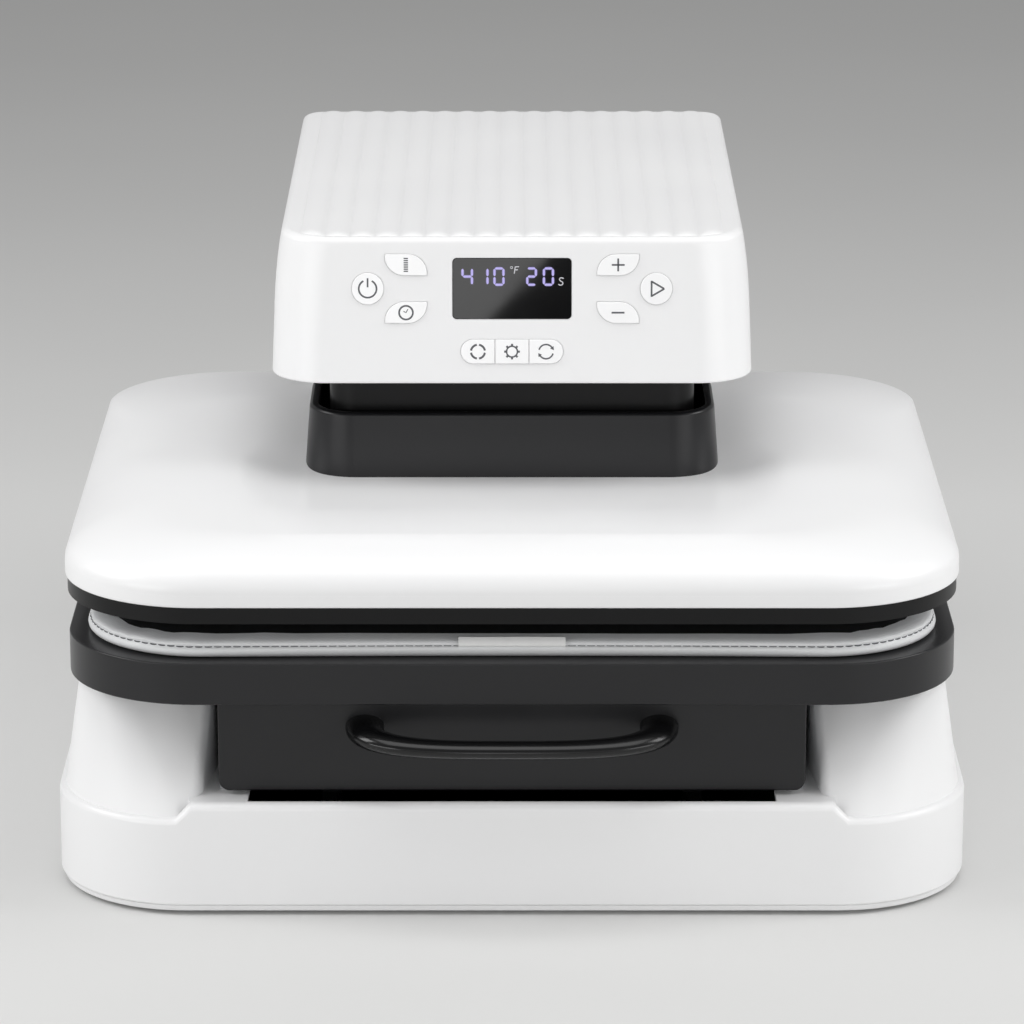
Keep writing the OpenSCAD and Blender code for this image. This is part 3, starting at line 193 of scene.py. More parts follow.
# Pressed mineral board: beige and chalky, with short fibres about 3 mm long.
mineral_board = finish("mineral_board_pressed", ("#bfae8d", "#cdbfa1"), 5, (0.8, 0.9), 3.0, 0.05, (1, 0.3, 1), IOR=1.45)
# Dark grey ink, pad-printed: thin and dull.
print_ink = finish("grey_ink_pad_printed", ("#55565a", "#5e5f63"), 2, (0.45, 0.55), 0.3, 0.0005, IOR=1.5)
# Polyester webbing, white: plain weave of 0.6 mm threads, soft and dull.
tab_webbing = finish("white_polyester_webbing", ("#f3f3f2", "#f9f9f8"), 3, (0.75, 0.85), 0.6, 0.05, (1, 2.5, 1), IOR=1.5)
# Lit segments under the display glass: violet white, with a faint violet bleed round them.
lit_segment = finish("display_segment_lit", ("#5c5678", "#645e82"), 3, (0.2, 0.3), 1.0, 0.0005,
                     Emission_Color=linear("#b9b0ee"), Emission_Strength=0.75)
segment_bleed = finish("display_segment_bleed", ("#0a0818", "#0d0a1e"), 3, (0.1, 0.15), 1.0, 0.0003,
                       Emission_Color=linear("#4a3c9c"), Emission_Strength=0.25)
# Small printed marks of the display, lit from behind: grey white.
lit_mark = finish("display_mark_lit", ("#a8a8ac", "#b2b2b6"), 2, (0.2, 0.3), 1.0, 0.0005,
                  Emission_Color=linear("#b4b4ba"), Emission_Strength=0.5)
# Sewing thread, dark grey polyester: slight gloss on each twist.
seam_thread = finish("polyester_thread_twisted", ("#54565a", "#6a6c70"), 1.2, (0.5, 0.6), 0.4, 0.02, IOR=1.5)

# Each CAD node takes the finish of its material slot; the rim and the neck take the nylon darkened with painted shade
SLOT_FINISH = {
    "white_shell": white_abs, "white_buttons": key_abs, "charcoal_plastic": charcoal_nylon, "black_gloss": gloss_abs,
    "display_glass": display_glass, "black_module": black_pbt, "circuit_board": board_mask, "foot_rubber": nitrile,
    "plate_aluminium": milled_alloy, "frame_steel": powder_steel, "zinc_steel": zinc_plate,
    "bearing_steel": ground_steel, "bronze": turned_bronze, "gear_cast": cast_alloy, "element_nickel": hot_nickel,
    "ceramic_beige": mineral_board, "mat_cloth": tab_webbing,
}
for subpart in frame["record"]["subparts"]:
    solid = frame["nodes"][subpart["node"]]
    solid.data.materials.clear()
    solid.data.materials.append(SLOT_FINISH[subpart["material_slot"]])
for node in ("platen_rim", "neck_sleeve"):
    frame["nodes"][node].data.materials[0] = nylon_painted_shade


# Making of meshes

def piece(name, points, faces, material, body, slot, normals=None):
    """A new mesh piece that rides on a body and wears the given finish; its slot is not used."""
    mesh = bpy.data.meshes.new(name)
    mesh.from_pydata(metres(points).tolist(), [], faces)
    mesh.materials.append(material)
    mesh.shade_smooth()
    if normals is not None:
        mesh.normals_split_custom_set_from_vertices(normals.tolist())
    made = bpy.data.objects.new(name, mesh)
    scene.collection.objects.link(made)
    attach(made, body)
    return made


def grow_skin(form, low, high, step):
    """Points, faces and normals of the skin where form(x, y, z) crosses zero. Each grid cell that the skin passes through
    gets one point, which then slides along the slope of form on to the skin."""
    axes = [np.arange(a - 1.5 * step, b + 2.5 * step, step) for a, b in zip(low, high)]
    field = form(*np.meshgrid(*axes, indexing="ij"))
    inside = field < 0
    cells = [n - 1 for n in field.shape]

    def corner(array, at):
        return array[tuple(slice(a, a + n) for a, n in zip(at, cells))]

    corners = list(np.ndindex(2, 2, 2))
    count = sum(corner(inside, c).astype(np.int8) for c in corners)
    crossed = (count > 0) & (count < 8)
    number = np.full(cells, -1)
    number[crossed] = np.arange(crossed.sum())
    reach, hits = np.zeros((crossed.sum(), 3)), np.zeros(crossed.sum())
    for c in corners:
        for axis in range(3):
            if c[axis] == 0:
                far = tuple(c[k] + (k == axis) for k in range(3))
                a, b = corner(field, c)[crossed], corner(field, far)[crossed]
                hit = (a < 0) != (b < 0)
                share = np.where(hit, a / np.where(hit, a - b, 1), 0)
                reach += hit[:, None] * (np.array(c, float) + share[:, None] * np.eye(3)[axis])
                hits += hit
    points = np.array([a[0] for a in axes]) + (np.argwhere(crossed) + reach / hits[:, None]) * step

    def slope(p, h=0.04):
        return np.stack([form(*(p + h * e).T) - form(*(p - h * e).T) for e in np.eye(3)], 1) / (2 * h)

    for turn in range(5):
        g = slope(points)
        move = form(*points.T) / np.maximum((g * g).sum(1), 0.05)
        points = points - np.clip(move, -step / 2, step / 2)[:, None] * g
    normals = slope(points)
    normals /= np.maximum(np.linalg.norm(normals, axis=1), 1e-9)[:, None]
    faces = []
    for axis in range(3):
        b, c = (axis + 1) % 3, (axis + 2) % 3
        near = np.take(inside, range(inside.shape[axis] - 1), axis)
        away = np.take(inside, range(1, inside.shape[axis]), axis)
        for solid_side, order in ((near & ~away, 1), (away & ~near, -1)):
            at = np.argwhere(solid_side)
            quad = []
            for db, dc in ((0, 0), (-1, 0), (-1, -1), (0, -1)):
                cell = at.copy()
                cell[:, b] += db
                cell[:, c] += dc
                quad.append(number[tuple(cell.T)])
            faces += np.stack(quad, 1)[:, ::order].tolist()
    return points, faces, normals


def plan(x, y, half, front, back, r_front, r_back):
    """Distance from a rounded rectangle seen from above, below zero inside it."""
    middle = (front + back) / 2
    r = np.where(y < middle, r_front, r_back)
    across = np.abs(x) - half + r
    along = np.abs(y - middle) - (back - front) / 2 + r
    return np.hypot(np.maximum(across, 0), np.maximum(along, 0)) + np.minimum(np.maximum(across, along), 0) - r


def trim(a, b, r):
    """Where both forms are solid, with the edge between them rounded off."""
    u, v = np.maximum(a + r, 0), np.maximum(b + r, 0)
    return np.hypot(u, v) - r + np.minimum(np.maximum(a + r, b + r), 0)


def ease(t):
    """A share from 0 to 1 that starts and ends level."""
    return t * t * (3 - 2 * t)


def upright(form, z, h=0.05):
    """A form given by its outline at each height, scaled to true distance on its slopes."""
    rise = (form(z + h) - form(z - h)) / (2 * h)
    return form(z) / np.sqrt(1 + rise * rise)


def skin_piece(name, form, low, high, step, material, body, slot):
    """A piece whose skin is grown from a form between two corners, in cells of one step."""
    points, faces, normals = grow_skin(form, low, high, step)
    return piece(name, points, faces, material, body, slot, normals)


def outline(half, front, back, r, z, arc=10, run=1, sag=0.0, stops=(), back_r=None):
    """A ring of points round a rounded rectangle at one height, anticlockwise from the right. run is how many lengths a
    straight side is cut into, sag how far its middle is drawn in, stops are extra places along the front, and back_r is the
    radius of the back corners where it differs."""
    depth, middle = (back - front) / 2, (front + back) / 2
    turns = ((1, 1), (-1, 1), (-1, -1), (1, -1))
    radii = (back_r or r, back_r or r, r, r)
    ring = []
    for k in range(4):
        angles = [math.radians(90 * k + 90 * j / arc) for j in range(arc + 1)]
        turn = np.array([[math.cos(a), math.sin(a)] for a in angles])
        centre, after = (np.array([turns[j][0] * (half - radii[j]), turns[j][1] * (depth - radii[j])])
                         for j in (k, (k + 1) % 4))
        ring += list(centre + radii[k] * turn)
        start, end = centre + radii[k] * turn[-1], after + radii[(k + 1) % 4] * turn[-1]
        ring += [start + (end - start) * i / run - turn[-1] * sag * math.sin(math.pi * i / run) for i in range(1, run)]
        if k == 2:
            ring += [np.array([x, -depth]) for x in stops]
    return [(p[0], p[1] + middle, z) for p in ring]


def loft(rings, top=True, round_trip=False):
    """Points and faces of a skin through rings of equal count, from the lowest up. A round trip ends on its first ring."""
    n = len(rings[0])
    points = [p for ring in rings for p in ring]
    faces = []
    for i in range(len(rings) - (not round_trip)):
        j = (i + 1) % len(rings)
        faces += [(i * n + k, i * n + (k + 1) % n, j * n + (k + 1) % n, j * n + k) for k in range(n)]
    if not round_trip:
        faces.append(tuple(range(n))[::-1])
    if top and not round_trip:
        faces.append(tuple((len(rings) - 1) * n + k for k in range(n)))
    return points, faces


def weighted(made):
    """Shades a lofted or cut shell by its large faces, so that its flats stay flat and its corners crisp."""
    made.data.set_sharp_from_angle(angle=math.radians(50))
    even = made.modifiers.new("normals", "WEIGHTED_NORMAL")
    even.weight = 80
    even.keep_sharp = True


def gather(solids):
    """Points and faces of several solids as one mesh."""
    points, faces = [], []
    for solid_points, solid_faces in solids:
        start = len(points)
        points += solid_points
        faces += [tuple(start + i for i in face) for face in solid_faces]
    return points, faces


# Base: a low tub whose front rises to the lip of the drawer deck, under shoulders that slope back and in
BASE_BOTTOM, SHOULDER_FOOT, LEDGE, DECK, SHOULDER = 4.5, 36, 45.0, 52.0, 95.0
BASE_HALF, BASE_BACK, BASE_R = 204.5, 446.0, 60.0
CHANNEL_HALF, CHANNEL_FLARE, FLARE_RUN, CHANNEL_BACK = 133.5, 5.5, 50.0, 397.0
LIP_HALF, LIP_FOOT = 141.6, 148.7
TUB_EDGE, LIP_EXTRA = 3.2, 0.4
SLOT_HALF, SLOT_FRONT, SLOT_BACK = 116.9, 4.5, 36.0
DECK_HALF, DECK_BACK, DECK_T = 143, 400, 3.0
TUB_STOPS = (-LIP_HALF, -136, 0, 136, LIP_HALF)
# Outline of the shoulders at the ledge, and how far each side leans in from there to the top
SHOULDER_HALF, SHOULDER_FRONT, SHOULDER_BACK, SHOULDER_R = 201.6, 2.9, 443, 57
SIDE_LEAN, FRONT_LEAN, BACK_LEAN, FRONT_R_LOSS = 7.1, 36, 6.5, 33
# Slant of the band along the channel's edge, as shares of the slope and of the channel's wall, and its depth
BAND_SLOPE, BAND_WALL, BAND_DEPTH = 0.93, 0.37, 2.2


def tub_outline(inset, z):
    """The tub's outline at one height, drawn in by inset."""
    return outline(BASE_HALF - inset, inset, BASE_BACK - inset, BASE_R - inset, z, arc=24, stops=TUB_STOPS)


def tub_ring(turn=None):
    """One ring of the tub's rounded upper edge, at one turn of its radius, or with no turn the ring where the deck starts.
    In front of the deck the edge rises to the lip."""
    ring = []
    for k, (x, y, _) in enumerate(tub_outline(0, 0)):
        share = np.clip((LIP_FOOT - abs(x)) / (LIP_FOOT - LIP_HALF), 0, 1) if y < BASE_R else 0.0
        radius = TUB_EDGE + LIP_EXTRA * share
        inset, fall = SLOT_FRONT, 0
        if turn is not None:
            inset, fall = radius * (1 - math.cos(turn)), radius * (1 - math.sin(turn))
        edge_x, edge_y, _ = tub_outline(inset, 0)[k]
        ring.append((edge_x, edge_y, LEDGE + (DECK - LEDGE) * share - fall))
    return ring


tub_rings = [tub_outline(inset, BASE_BOTTOM + rise) for inset, rise in ((1.2, 0), (0.35, 0.35), (0, 1.2))]
tub_rings += [tub_ring(math.radians(a)) for a in (0, 22, 45, 68, 90)] + [tub_ring()]
# The deck is three slabs, which leave the slot under the drawer open
deck_slabs = [loft([[(left, front, z), (right, front, z), (right, DECK_BACK, z), (left, DECK_BACK, z)]
                    for z in (DECK - DECK_T, DECK)])
              for left, right, front in ((-DECK_HALF, -SLOT_HALF, SLOT_FRONT), (-SLOT_HALF, SLOT_HALF, SLOT_BACK),
                                         (SLOT_HALF, DECK_HALF, SLOT_FRONT))]
base_tub = piece("base_tub", *gather([loft(tub_rings, top=False)] + deck_slabs), white_abs, "machine_frame",
                 "white_shell")
weighted(base_tub)
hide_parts("base_housing")

# Edge of the bottom pan: a thin band that shows below the base
pan_rings = [outline(BASE_HALF - d, d, BASE_BACK - d, BASE_R - d, z, arc=24)
             for d, z in ((4.2, 1.6), (2.2, 1.6), (1.7, 2.1), (1.7, 3.9), (2.0, 4.2), (4.2, 4.2))]
pan_edge = piece("pan_edge", *loft(pan_rings, round_trip=True), white_abs, "machine_frame", "white_shell")
weighted(pan_edge)


def shoulder_form(x, y, z):
    """The sloped shoulders, open to the front in a channel for the drawer, with a band along the channel's edge."""
    def slope(height):
        t = np.clip((height - LEDGE) / (SHOULDER - LEDGE), 0, 1.3)
        return plan(x, y, SHOULDER_HALF - SIDE_LEAN * t, SHOULDER_FRONT + FRONT_LEAN * t, SHOULDER_BACK - BACK_LEAN * t,
                    SHOULDER_R - FRONT_R_LOSS * t, SHOULDER_R - BACK_LEAN * t)

    body = trim(upright(slope, z), z - SHOULDER, 6)
    mouth = CHANNEL_HALF + CHANNEL_FLARE * np.clip(1 - y / FLARE_RUN, 0, 1.5)
    channel = trim(np.abs(x) - mouth, y - CHANNEL_BACK, 8)
    band = BAND_SLOPE * body - BAND_WALL * channel + BAND_DEPTH
    return trim(trim(trim(body, -channel, 3.5), band, 5), SHOULDER_FOOT - z, 1)


skin_piece("base_shoulders", shoulder_form, (-204, 0, SHOULDER_FOOT), (204, BASE_BACK, SHOULDER), 2.4,
           white_abs, "machine_frame", "white_shell")

# Platen cover: a low pillow that falls away further at the back, with a shallow pocket that runs out at the front
PRESS_Y = 197.0
COVER_HALF, COVER_DEEP, COVER_R = 200, 196, 62
COVER_FOOT, COVER_RISE, COVER_EDGE = 143.6, 24.0, 5.5
# How far the crown draws in at the sides, in front and at the back, and what its corners lose
CROWN_SIDE, CROWN_FRONT, CROWN_BACK, CROWN_R_LOSS = 44, 36, 115, 13
NECK_HALF, NECK_DEEP, NECK_R = 92, 39, 21
POCKET_HALF, POCKET_RAMP, POCKET_FLOOR, POCKET_START, POCKET_END = 96.0, 46.0, 159.1, 44.0, 152.0
# Behind the pocket's end its floor rises again
LIFT, LIFT_START, LIFT_RUN = 5, 8, 45


def cover_form(x, y, z):
    """The pillow of the cover with its pocket and the opening for the neck."""
    def crown(height):
        h = height - COVER_FOOT
        t = np.clip((h - COVER_EDGE) / (COVER_RISE - COVER_EDGE), 0, 0.99995)
        bow = 1 - np.sqrt(1 - t * t)
        r = COVER_R - CROWN_R_LOSS * bow
        return plan(x, y, COVER_HALF - CROWN_SIDE * bow, PRESS_Y - COVER_DEEP + CROWN_FRONT * bow,
                    PRESS_Y + COVER_DEEP - CROWN_BACK * t ** 1.3, r, r)

    pillow = trim(upright(crown, z), z - COVER_FOOT - COVER_RISE + 0.05, 0.4)
    fade = np.clip((POCKET_END - y) / (POCKET_END - POCKET_START), 0, 1)
    floor = POCKET_FLOOR + (COVER_FOOT + COVER_RISE - POCKET_FLOOR) * ease(fade)
    back = np.clip((y - POCKET_END - LIFT_START) / LIFT_RUN, 0, 1)
    floor = floor + LIFT * ease(back)
    ramp = np.clip((np.abs(x) - POCKET_HALF) / POCKET_RAMP, 0, 1)
    floor = floor + (COVER_FOOT + COVER_RISE + 1 - floor) * ease(ramp)
    pillow = trim(pillow, z - floor, 2)
    pillow = trim(pillow, COVER_FOOT - z, 0.8)
    return np.maximum(pillow, -plan(x, y, NECK_HALF, PRESS_Y - NECK_DEEP, PRESS_Y + NECK_DEEP, NECK_R, NECK_R))


cover_shell = skin_piece("cover_shell", cover_form, (-COVER_HALF, PRESS_Y - COVER_DEEP, COVER_FOOT),
                         (COVER_HALF, PRESS_Y + COVER_DEEP, COVER_FOOT + COVER_RISE), 2.5,
                         white_abs, "upper_platen", "white_shell")
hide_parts("platen_cover")
# Skirt of the cover: its upright edge, which laps over the rim
skirt_rings = [outline(COVER_HALF - d, PRESS_Y - COVER_DEEP + d, PRESS_Y + COVER_DEEP - d, COVER_R - d, z, arc=32)
               for d, z in ((0.9, 147.5), (0.9, 142.1), (0.5, 142.1), (0.1, 142.4), (-0.03, 143.0), (-0.03, 147.5))]
cover_skirt = piece("cover_skirt", *loft(skirt_rings, round_trip=True), white_abs, "upper_platen", "white_shell")
weighted(cover_skirt)


def cut(made, cutter):
    """Cuts one mesh from another for good."""
    knife = made.modifiers.new("cut", "BOOLEAN")
    knife.operation, knife.solver, knife.object = "DIFFERENCE", "EXACT", cutter
    bpy.context.view_layer.update()
    new = bpy.data.meshes.new_from_object(made.evaluated_get(bpy.context.evaluated_depsgraph_get()))
    made.modifiers.remove(knife)
    made.data = new
    bpy.data.objects.remove(cutter)


# Head: tapered box with a leaning panel; its edges are rounded by a few rings
HEAD_FOOT, HEAD_TOP, HEAD_FRONT, HEAD_BACK = 208.2, 275.2, 138.0, 446.0
TILT = math.radians(5.8)
HEAD_HALF, HEAD_R, HEAD_BACK_R = 111, 26, 11
HEAD_EDGE, HEAD_FOOT_EDGE, HEAD_TAPER, HEAD_LEAN = 3.0, 1.2, 2.5, 2.4


def head_ring(z, draw):
    """The head's outline at one height, drawn in by draw. Its sides taper, and lean in further over the upper half."""
    t = (z - HEAD_FOOT) / (HEAD_TOP - HEAD_FOOT)
    lean = HEAD_TAPER * t + HEAD_LEAN * max(2 * t - 1, 0) ** 2
    return outline(HEAD_HALF - lean - draw, HEAD_FRONT + (z - HEAD_FOOT) * math.tan(TILT) + draw, HEAD_BACK - lean - draw,
                   HEAD_R - draw, z, arc=14, back_r=HEAD_BACK_R - draw)


def on_panel(points, out=0.0):
    """Points u across and v up the control panel, out millimetres in front of it."""
    c, s = math.cos(TILT), math.sin(TILT)
    return [(u, HEAD_FRONT + v * s - out * c, HEAD_FOOT + v * c + out * s) for u, v in points]


head_rings = [head_ring(HEAD_FOOT + HEAD_FOOT_EDGE * (1 - math.cos(a)), HEAD_FOOT_EDGE * (1 - math.sin(a)))
              for a in np.radians((0, 30, 60, 90))]
head_rings += [head_ring(z, 0) for z in (240, 247, 254, 260, 265, 269)]
head_rings += [head_ring(HEAD_TOP - HEAD_EDGE * (1 - math.sin(a)), HEAD_EDGE * (1 - math.cos(a)))
               for a in np.radians((0, 15, 30, 45, 60, 75, 90))]
head_shell = piece("head_shell", *loft(head_rings), white_abs, "machine_frame", "white_shell")

# Openings of the panel: display, round buttons, leaf buttons and the pill of mode keys
DISPLAY_V, ROUND_U, LEAF_U, LEAF_V, MODE_V, MODE_W, LENS_OUT = 44.0, 66.0, 48.5, 11.0, 15.0, 15.6, 0.0
DISPLAY_HALF, DISPLAY_TALL, DISPLAY_R, MODE_TALL, MODE_R, ROUND_R = 27.2, 14.05, 2, 5.55, 5.549, 7.6
LEAF_HALF, LEAF_TALL, LEAF_R = 9.6, 4.85, 8.73
OPENING_BACK, OPENING_FRONT = -0.5, 3.0


def arc_points(u, v, r, start, end, steps=12):
    """Points along an arc on the panel, from one angle to another in degrees."""
    angles = [math.radians(start + (end - start) * k / steps) for k in range(steps + 1)]
    return [(u + r * math.cos(a), v + r * math.sin(a)) for a in angles]


def leaf_outline(u, v, flip, grow):
    """A leaf with two sharp and two round corners; flip turns its tips the other way."""
    w, h, r = LEAF_HALF + grow, LEAF_TALL + grow, LEAF_R + grow
    ring = [(w, -h)] + arc_points(w - r, h - r, r, 0, 90) + [(-w, h)] + arc_points(r - w, r - h, r, 180, 270)
    ring = [(p * flip + u, q + v) for p, q in ring]
    return ring if flip > 0 else ring[::-1]


def pill_outline(u, v, half_w, half_h, r, grow):
    """A rounded rectangle on the panel."""
    a, b, r = half_w + grow, half_h + grow, r + grow
    return [p for k, (su, sv) in enumerate(((1, 1), (-1, 1), (-1, -1), (1, -1)))
            for p in arc_points(u + su * (a - r), v + sv * (b - r), r, 90 * k, 90 * k + 90)]


openings = [pill_outline(0, DISPLAY_V, DISPLAY_HALF, DISPLAY_TALL, DISPLAY_R, 0.2),
            pill_outline(0, MODE_V, 1.5 * MODE_W, MODE_TALL, MODE_R, 0.3)]
for s in (-1, 1):
    openings.append(arc_points(s * ROUND_U, DISPLAY_V, ROUND_R, 0, 351, 39))
    openings += [leaf_outline(s * LEAF_U, DISPLAY_V + r * LEAF_V, -s * r, 0.3) for r in (-1, 1)]
knife_solids = gather(loft([on_panel(ring, OPENING_BACK), on_panel(ring, OPENING_FRONT)]) for ring in openings)
panel_knife = piece("panel_knife", *knife_solids, white_abs, "machine_frame", "white_shell")
cut(head_shell, panel_knife)
weighted(head_shell)
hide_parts("head_housing")


def unit(ways):
    """Rows of directions, each brought to length one."""
    return ways / np.linalg.norm(ways, axis=1, keepdims=True)


def inlay(name, strokes, fills, low, high, material, body, slot):
    """Thin solids on the panel, from low to high in front of it. A stroke is a path, its width and whether it closes;
    a fill is an outline, anticlockwise."""
    solids = [loft([on_panel(ring, low), on_panel(ring, high)]) for ring in fills]
    for path, width, closed in strokes:
        path = np.array(path, float)
        ahead, behind = np.roll(path, -1, 0) - path, path - np.roll(path, 1, 0)
        if not closed:
            ahead[-1], behind[0] = behind[-1], ahead[0]
        along = unit(unit(ahead) + unit(behind))
        side = along[:, ::-1] * (-width / 2, width / 2)
        solids.append(loft([on_panel([p], low) + on_panel([p], high) + on_panel([q], high) + on_panel([q], low)
                            for p, q in zip(path + side, path - side)], round_trip=closed))
    made = piece(name, *gather(solids), material, body, slot)
    made.data.shade_flat()
    return made


# Signs on the buttons, printed in ink a few hundredths of a millimetre thick
CAP_PROUD, INK_T, LINE = 0.7, 0.03, 0.8


def sign(button, strokes, fills=()):
    """The printed sign of one button, which moves with its cap."""
    inlay(button + "_sign", strokes, fills, CAP_PROUD - 0.02, CAP_PROUD + INK_T, print_ink, button + "_cap",
          "white_buttons")


def spoke(u, v, angle, near, far, width):
    """A straight stroke along one angle from a middle."""
    c, s = math.cos(math.radians(angle)), math.sin(math.radians(angle))
    return [(u + near * c, v + near * s), (u + far * c, v + far * s)], width, False


def arrow_head(u, v, r, angle, size):
    """A small triangle at the end of an arc that runs clockwise."""
    c, s = math.cos(math.radians(angle)), math.sin(math.radians(angle))
    return [(u + (r - size) * c, v + (r - size) * s), (u + (r + size) * c, v + (r + size) * s),
            (u + r * c + 1.7 * size * s, v + r * s - 1.7 * size * c)][::-1]


UPPER, LOWER = DISPLAY_V + LEAF_V, DISPLAY_V - LEAF_V
sign("power_button", [(arc_points(-ROUND_U, DISPLAY_V, 4.06, 118, 422, 36), LINE, False),
                      ([(-ROUND_U, DISPLAY_V + 0.7), (-ROUND_U, DISPLAY_V + 4.9)], 0.75, False)])
sign("start_button", [([(ROUND_U - 2.2, DISPLAY_V - 3.4), (ROUND_U + 3.6, DISPLAY_V)], LINE, False),
                      ([(ROUND_U + 3.6, DISPLAY_V), (ROUND_U - 2.2, DISPLAY_V + 3.4)], LINE, False),
                      ([(ROUND_U - 2.2, DISPLAY_V - 3.7), (ROUND_U - 2.2, DISPLAY_V + 3.7)], LINE, False)])
sign("temperature_button", [([(-LEAF_U - 1.0, UPPER + k * 0.98), (-LEAF_U + 1.0, UPPER + k * 0.98)], 0.58, False)
                            for k in range(-3, 4)])
sign("timer_button", [(arc_points(-LEAF_U, LOWER, 3.15, 0, 350, 35), LINE, True), spoke(-LEAF_U, LOWER, 62, 0, 1.9, 0.4),
                      spoke(-LEAF_U, LOWER, 150, 0, 1.3, 0.4)])
sign("plus_button", [spoke(LEAF_U, UPPER, 0, -2.95, 2.95, LINE), spoke(LEAF_U, UPPER, 90, -2.95, 2.95, LINE)])
sign("minus_button", [spoke(LEAF_U, LOWER, 0, -2.95, 2.95, LINE)])
sign("mode_key_left", [(arc_points(-MODE_W, MODE_V, 3.2, 90 * k + 9, 90 * k + 81, 8), 0.95, False) for k in range(4)])
sign("mode_key_middle", [(arc_points(0, MODE_V, 2.5, 0, 350, 35), 0.7, True)]
     + [spoke(0, MODE_V, 45 * k, 2.7, 3.6, 0.95) for k in range(8)])
sign("mode_key_right", [(arc_points(MODE_W, MODE_V, 3.3, a, a - 130, 16), 0.7, False) for a in (165, 345)],
     [arrow_head(MODE_W, MODE_V, 3.3, a, 0.95) for a in (37, 217)])

# Display: seven-segment digits and two small marks, drawn on the face of the glass
SEGMENTS = {"0": "abcdef", "1": "bc", "2": "abged", "4": "fgbc"}


def digit(shape, left, right, low, high, half):
    """Outlines of the lit bars of one digit."""
    middle, gap = (low + high) / 2, 0.12
    bars = []
    for name, v in (("a", high - half), ("g", middle), ("d", low + half)):
        if name in shape:
            a, b = left + half + gap, right - half - gap
            bars.append([(a, v), (a + half, v - half), (b - half, v - half),
                         (b, v), (b - half, v + half), (a + half, v + half)])
    for name, u, v0, v1 in (("f", left + half, middle, high - half), ("b", right - half, middle, high - half),
                            ("e", left + half, low + half, middle), ("c", right - half, low + half, middle)):
        if name in shape:
            a, b = v0 + gap, v1 - gap
            bars.append([(u, a), (u + half, a + half), (u + half, b - half),
                         (u, b), (u - half, b - half), (u - half, a + half)])
    return bars


DIGITS = (("4", -23.1, -17.8), ("1", -15.6, -10.7), ("0", -8.5, -3.4), ("2", 6.5, 11.4), ("0", 14.1, 19.2))
DIGIT_LOW, DIGIT_HIGH, BAR_HALF, BLEED = 45.3, 53.8, 0.5, 0.35
bars, bleed = ([bar for shape, a, b in DIGITS
                for bar in digit(SEGMENTS[shape], a - more, b + more, DIGIT_LOW - more, DIGIT_HIGH + more, BAR_HALF + more)]
               for more in (0, BLEED))
inlay("display_bleed", [], bleed, LENS_OUT - 0.02, LENS_OUT + 0.01, segment_bleed, "machine_frame", "display_glass")
inlay("display_digits", [], bars, LENS_OUT - 0.01, LENS_OUT + 0.02, lit_segment, "machine_frame", "display_glass")
inlay("display_marks", [(arc_points(-0.2, 53.7, 0.5, 0, 330, 11), 0.25, True), ([(1.0, 50.9), (1.5, 54.1)], 0.4, False),
                        ([(1.4, 54.0), (3.2, 54.1)], 0.4, False), ([(1.2, 52.6), (2.7, 52.7)], 0.4, False),
                        ([(23.6, 48.6), (22.9, 49.0), (22.0, 48.9), (21.6, 48.2), (22.2, 47.5), (23.1, 47.0), (23.3, 46.3),
                          (22.8, 45.7), (21.9, 45.6), (21.2, 46.0)], 0.45, False)],
      [], LENS_OUT - 0.01, LENS_OUT + 0.02, lit_mark, "machine_frame", "display_glass")

# Reeds along the top of the head: seventeen low round ridges that die out just inside its rounded outline
REED_PITCH, REED_COUNT, REED_RISE, REED_ROUND = 11.4, 17, 1.5, 0.8
REED_END, REED_FRONT, REED_BACK, REED_OVER = 0.02, 0.3, 1.2, 0.02
TOP_FRONT = HEAD_FRONT + (HEAD_TOP - HEAD_FOOT) * math.tan(TILT) + HEAD_EDGE
TOP_HALF, TOP_BACK = (edge - HEAD_TAPER - HEAD_LEAN - HEAD_EDGE for edge in (HEAD_HALF, HEAD_BACK))
TOP_R = HEAD_R - HEAD_EDGE
reed_across = np.linspace(-REED_COUNT / 2, REED_COUNT / 2, REED_COUNT * 10 + 1)
reed_shares = np.concatenate([np.linspace(0, 1, 9) ** 2 * REED_END, np.linspace(0.06, 0.94, 9),
                              1 - np.linspace(1, 0, 9) ** 2 * REED_END])
reed_points = []
for share in reed_shares:
    end = min(min(share, 1 - share) / REED_END, 1)
    for s in reed_across:
        x = s * REED_PITCH
        past = max(abs(x) - TOP_HALF + TOP_R, 0)
        bite = TOP_R - math.sqrt(TOP_R ** 2 - past ** 2) - REED_FRONT
        y = TOP_FRONT + bite + share * (TOP_BACK - REED_BACK - TOP_FRONT - bite)
        rise = REED_RISE * abs(math.cos(math.pi * s)) ** REED_ROUND * math.sqrt(1 - (1 - end) ** 2)
        reed_points.append((x, y, HEAD_TOP + REED_OVER + rise))
n = len(reed_across)
reed_faces = [(i * n + k, i * n + k + 1, (i + 1) * n + k + 1, (i + 1) * n + k)
              for i in range(len(reed_shares) - 1) for k in range(n - 1)]
piece("head_reeds", reed_points, reed_faces, white_abs, "machine_frame", "white_shell")

# Collar: dark tapered ring with a rounded rim
COLLAR_FOOT, COLLAR_TOP, RIM_HALF, RIM_DEEP, RIM_R, RIM_EDGE = 147.2, 187.6, 94.5, 40, 22, 1.6
INNER_DRAW, INNER_EDGE, INNER_Z = 4.3, 1.0, 188.2


def rim_ring(draw, z):
    """The outline of the collar's rim at one height, drawn in by draw."""
    return outline(RIM_HALF - draw, PRESS_Y - RIM_DEEP + draw, PRESS_Y + RIM_DEEP - draw, RIM_R - draw, z, arc=14)


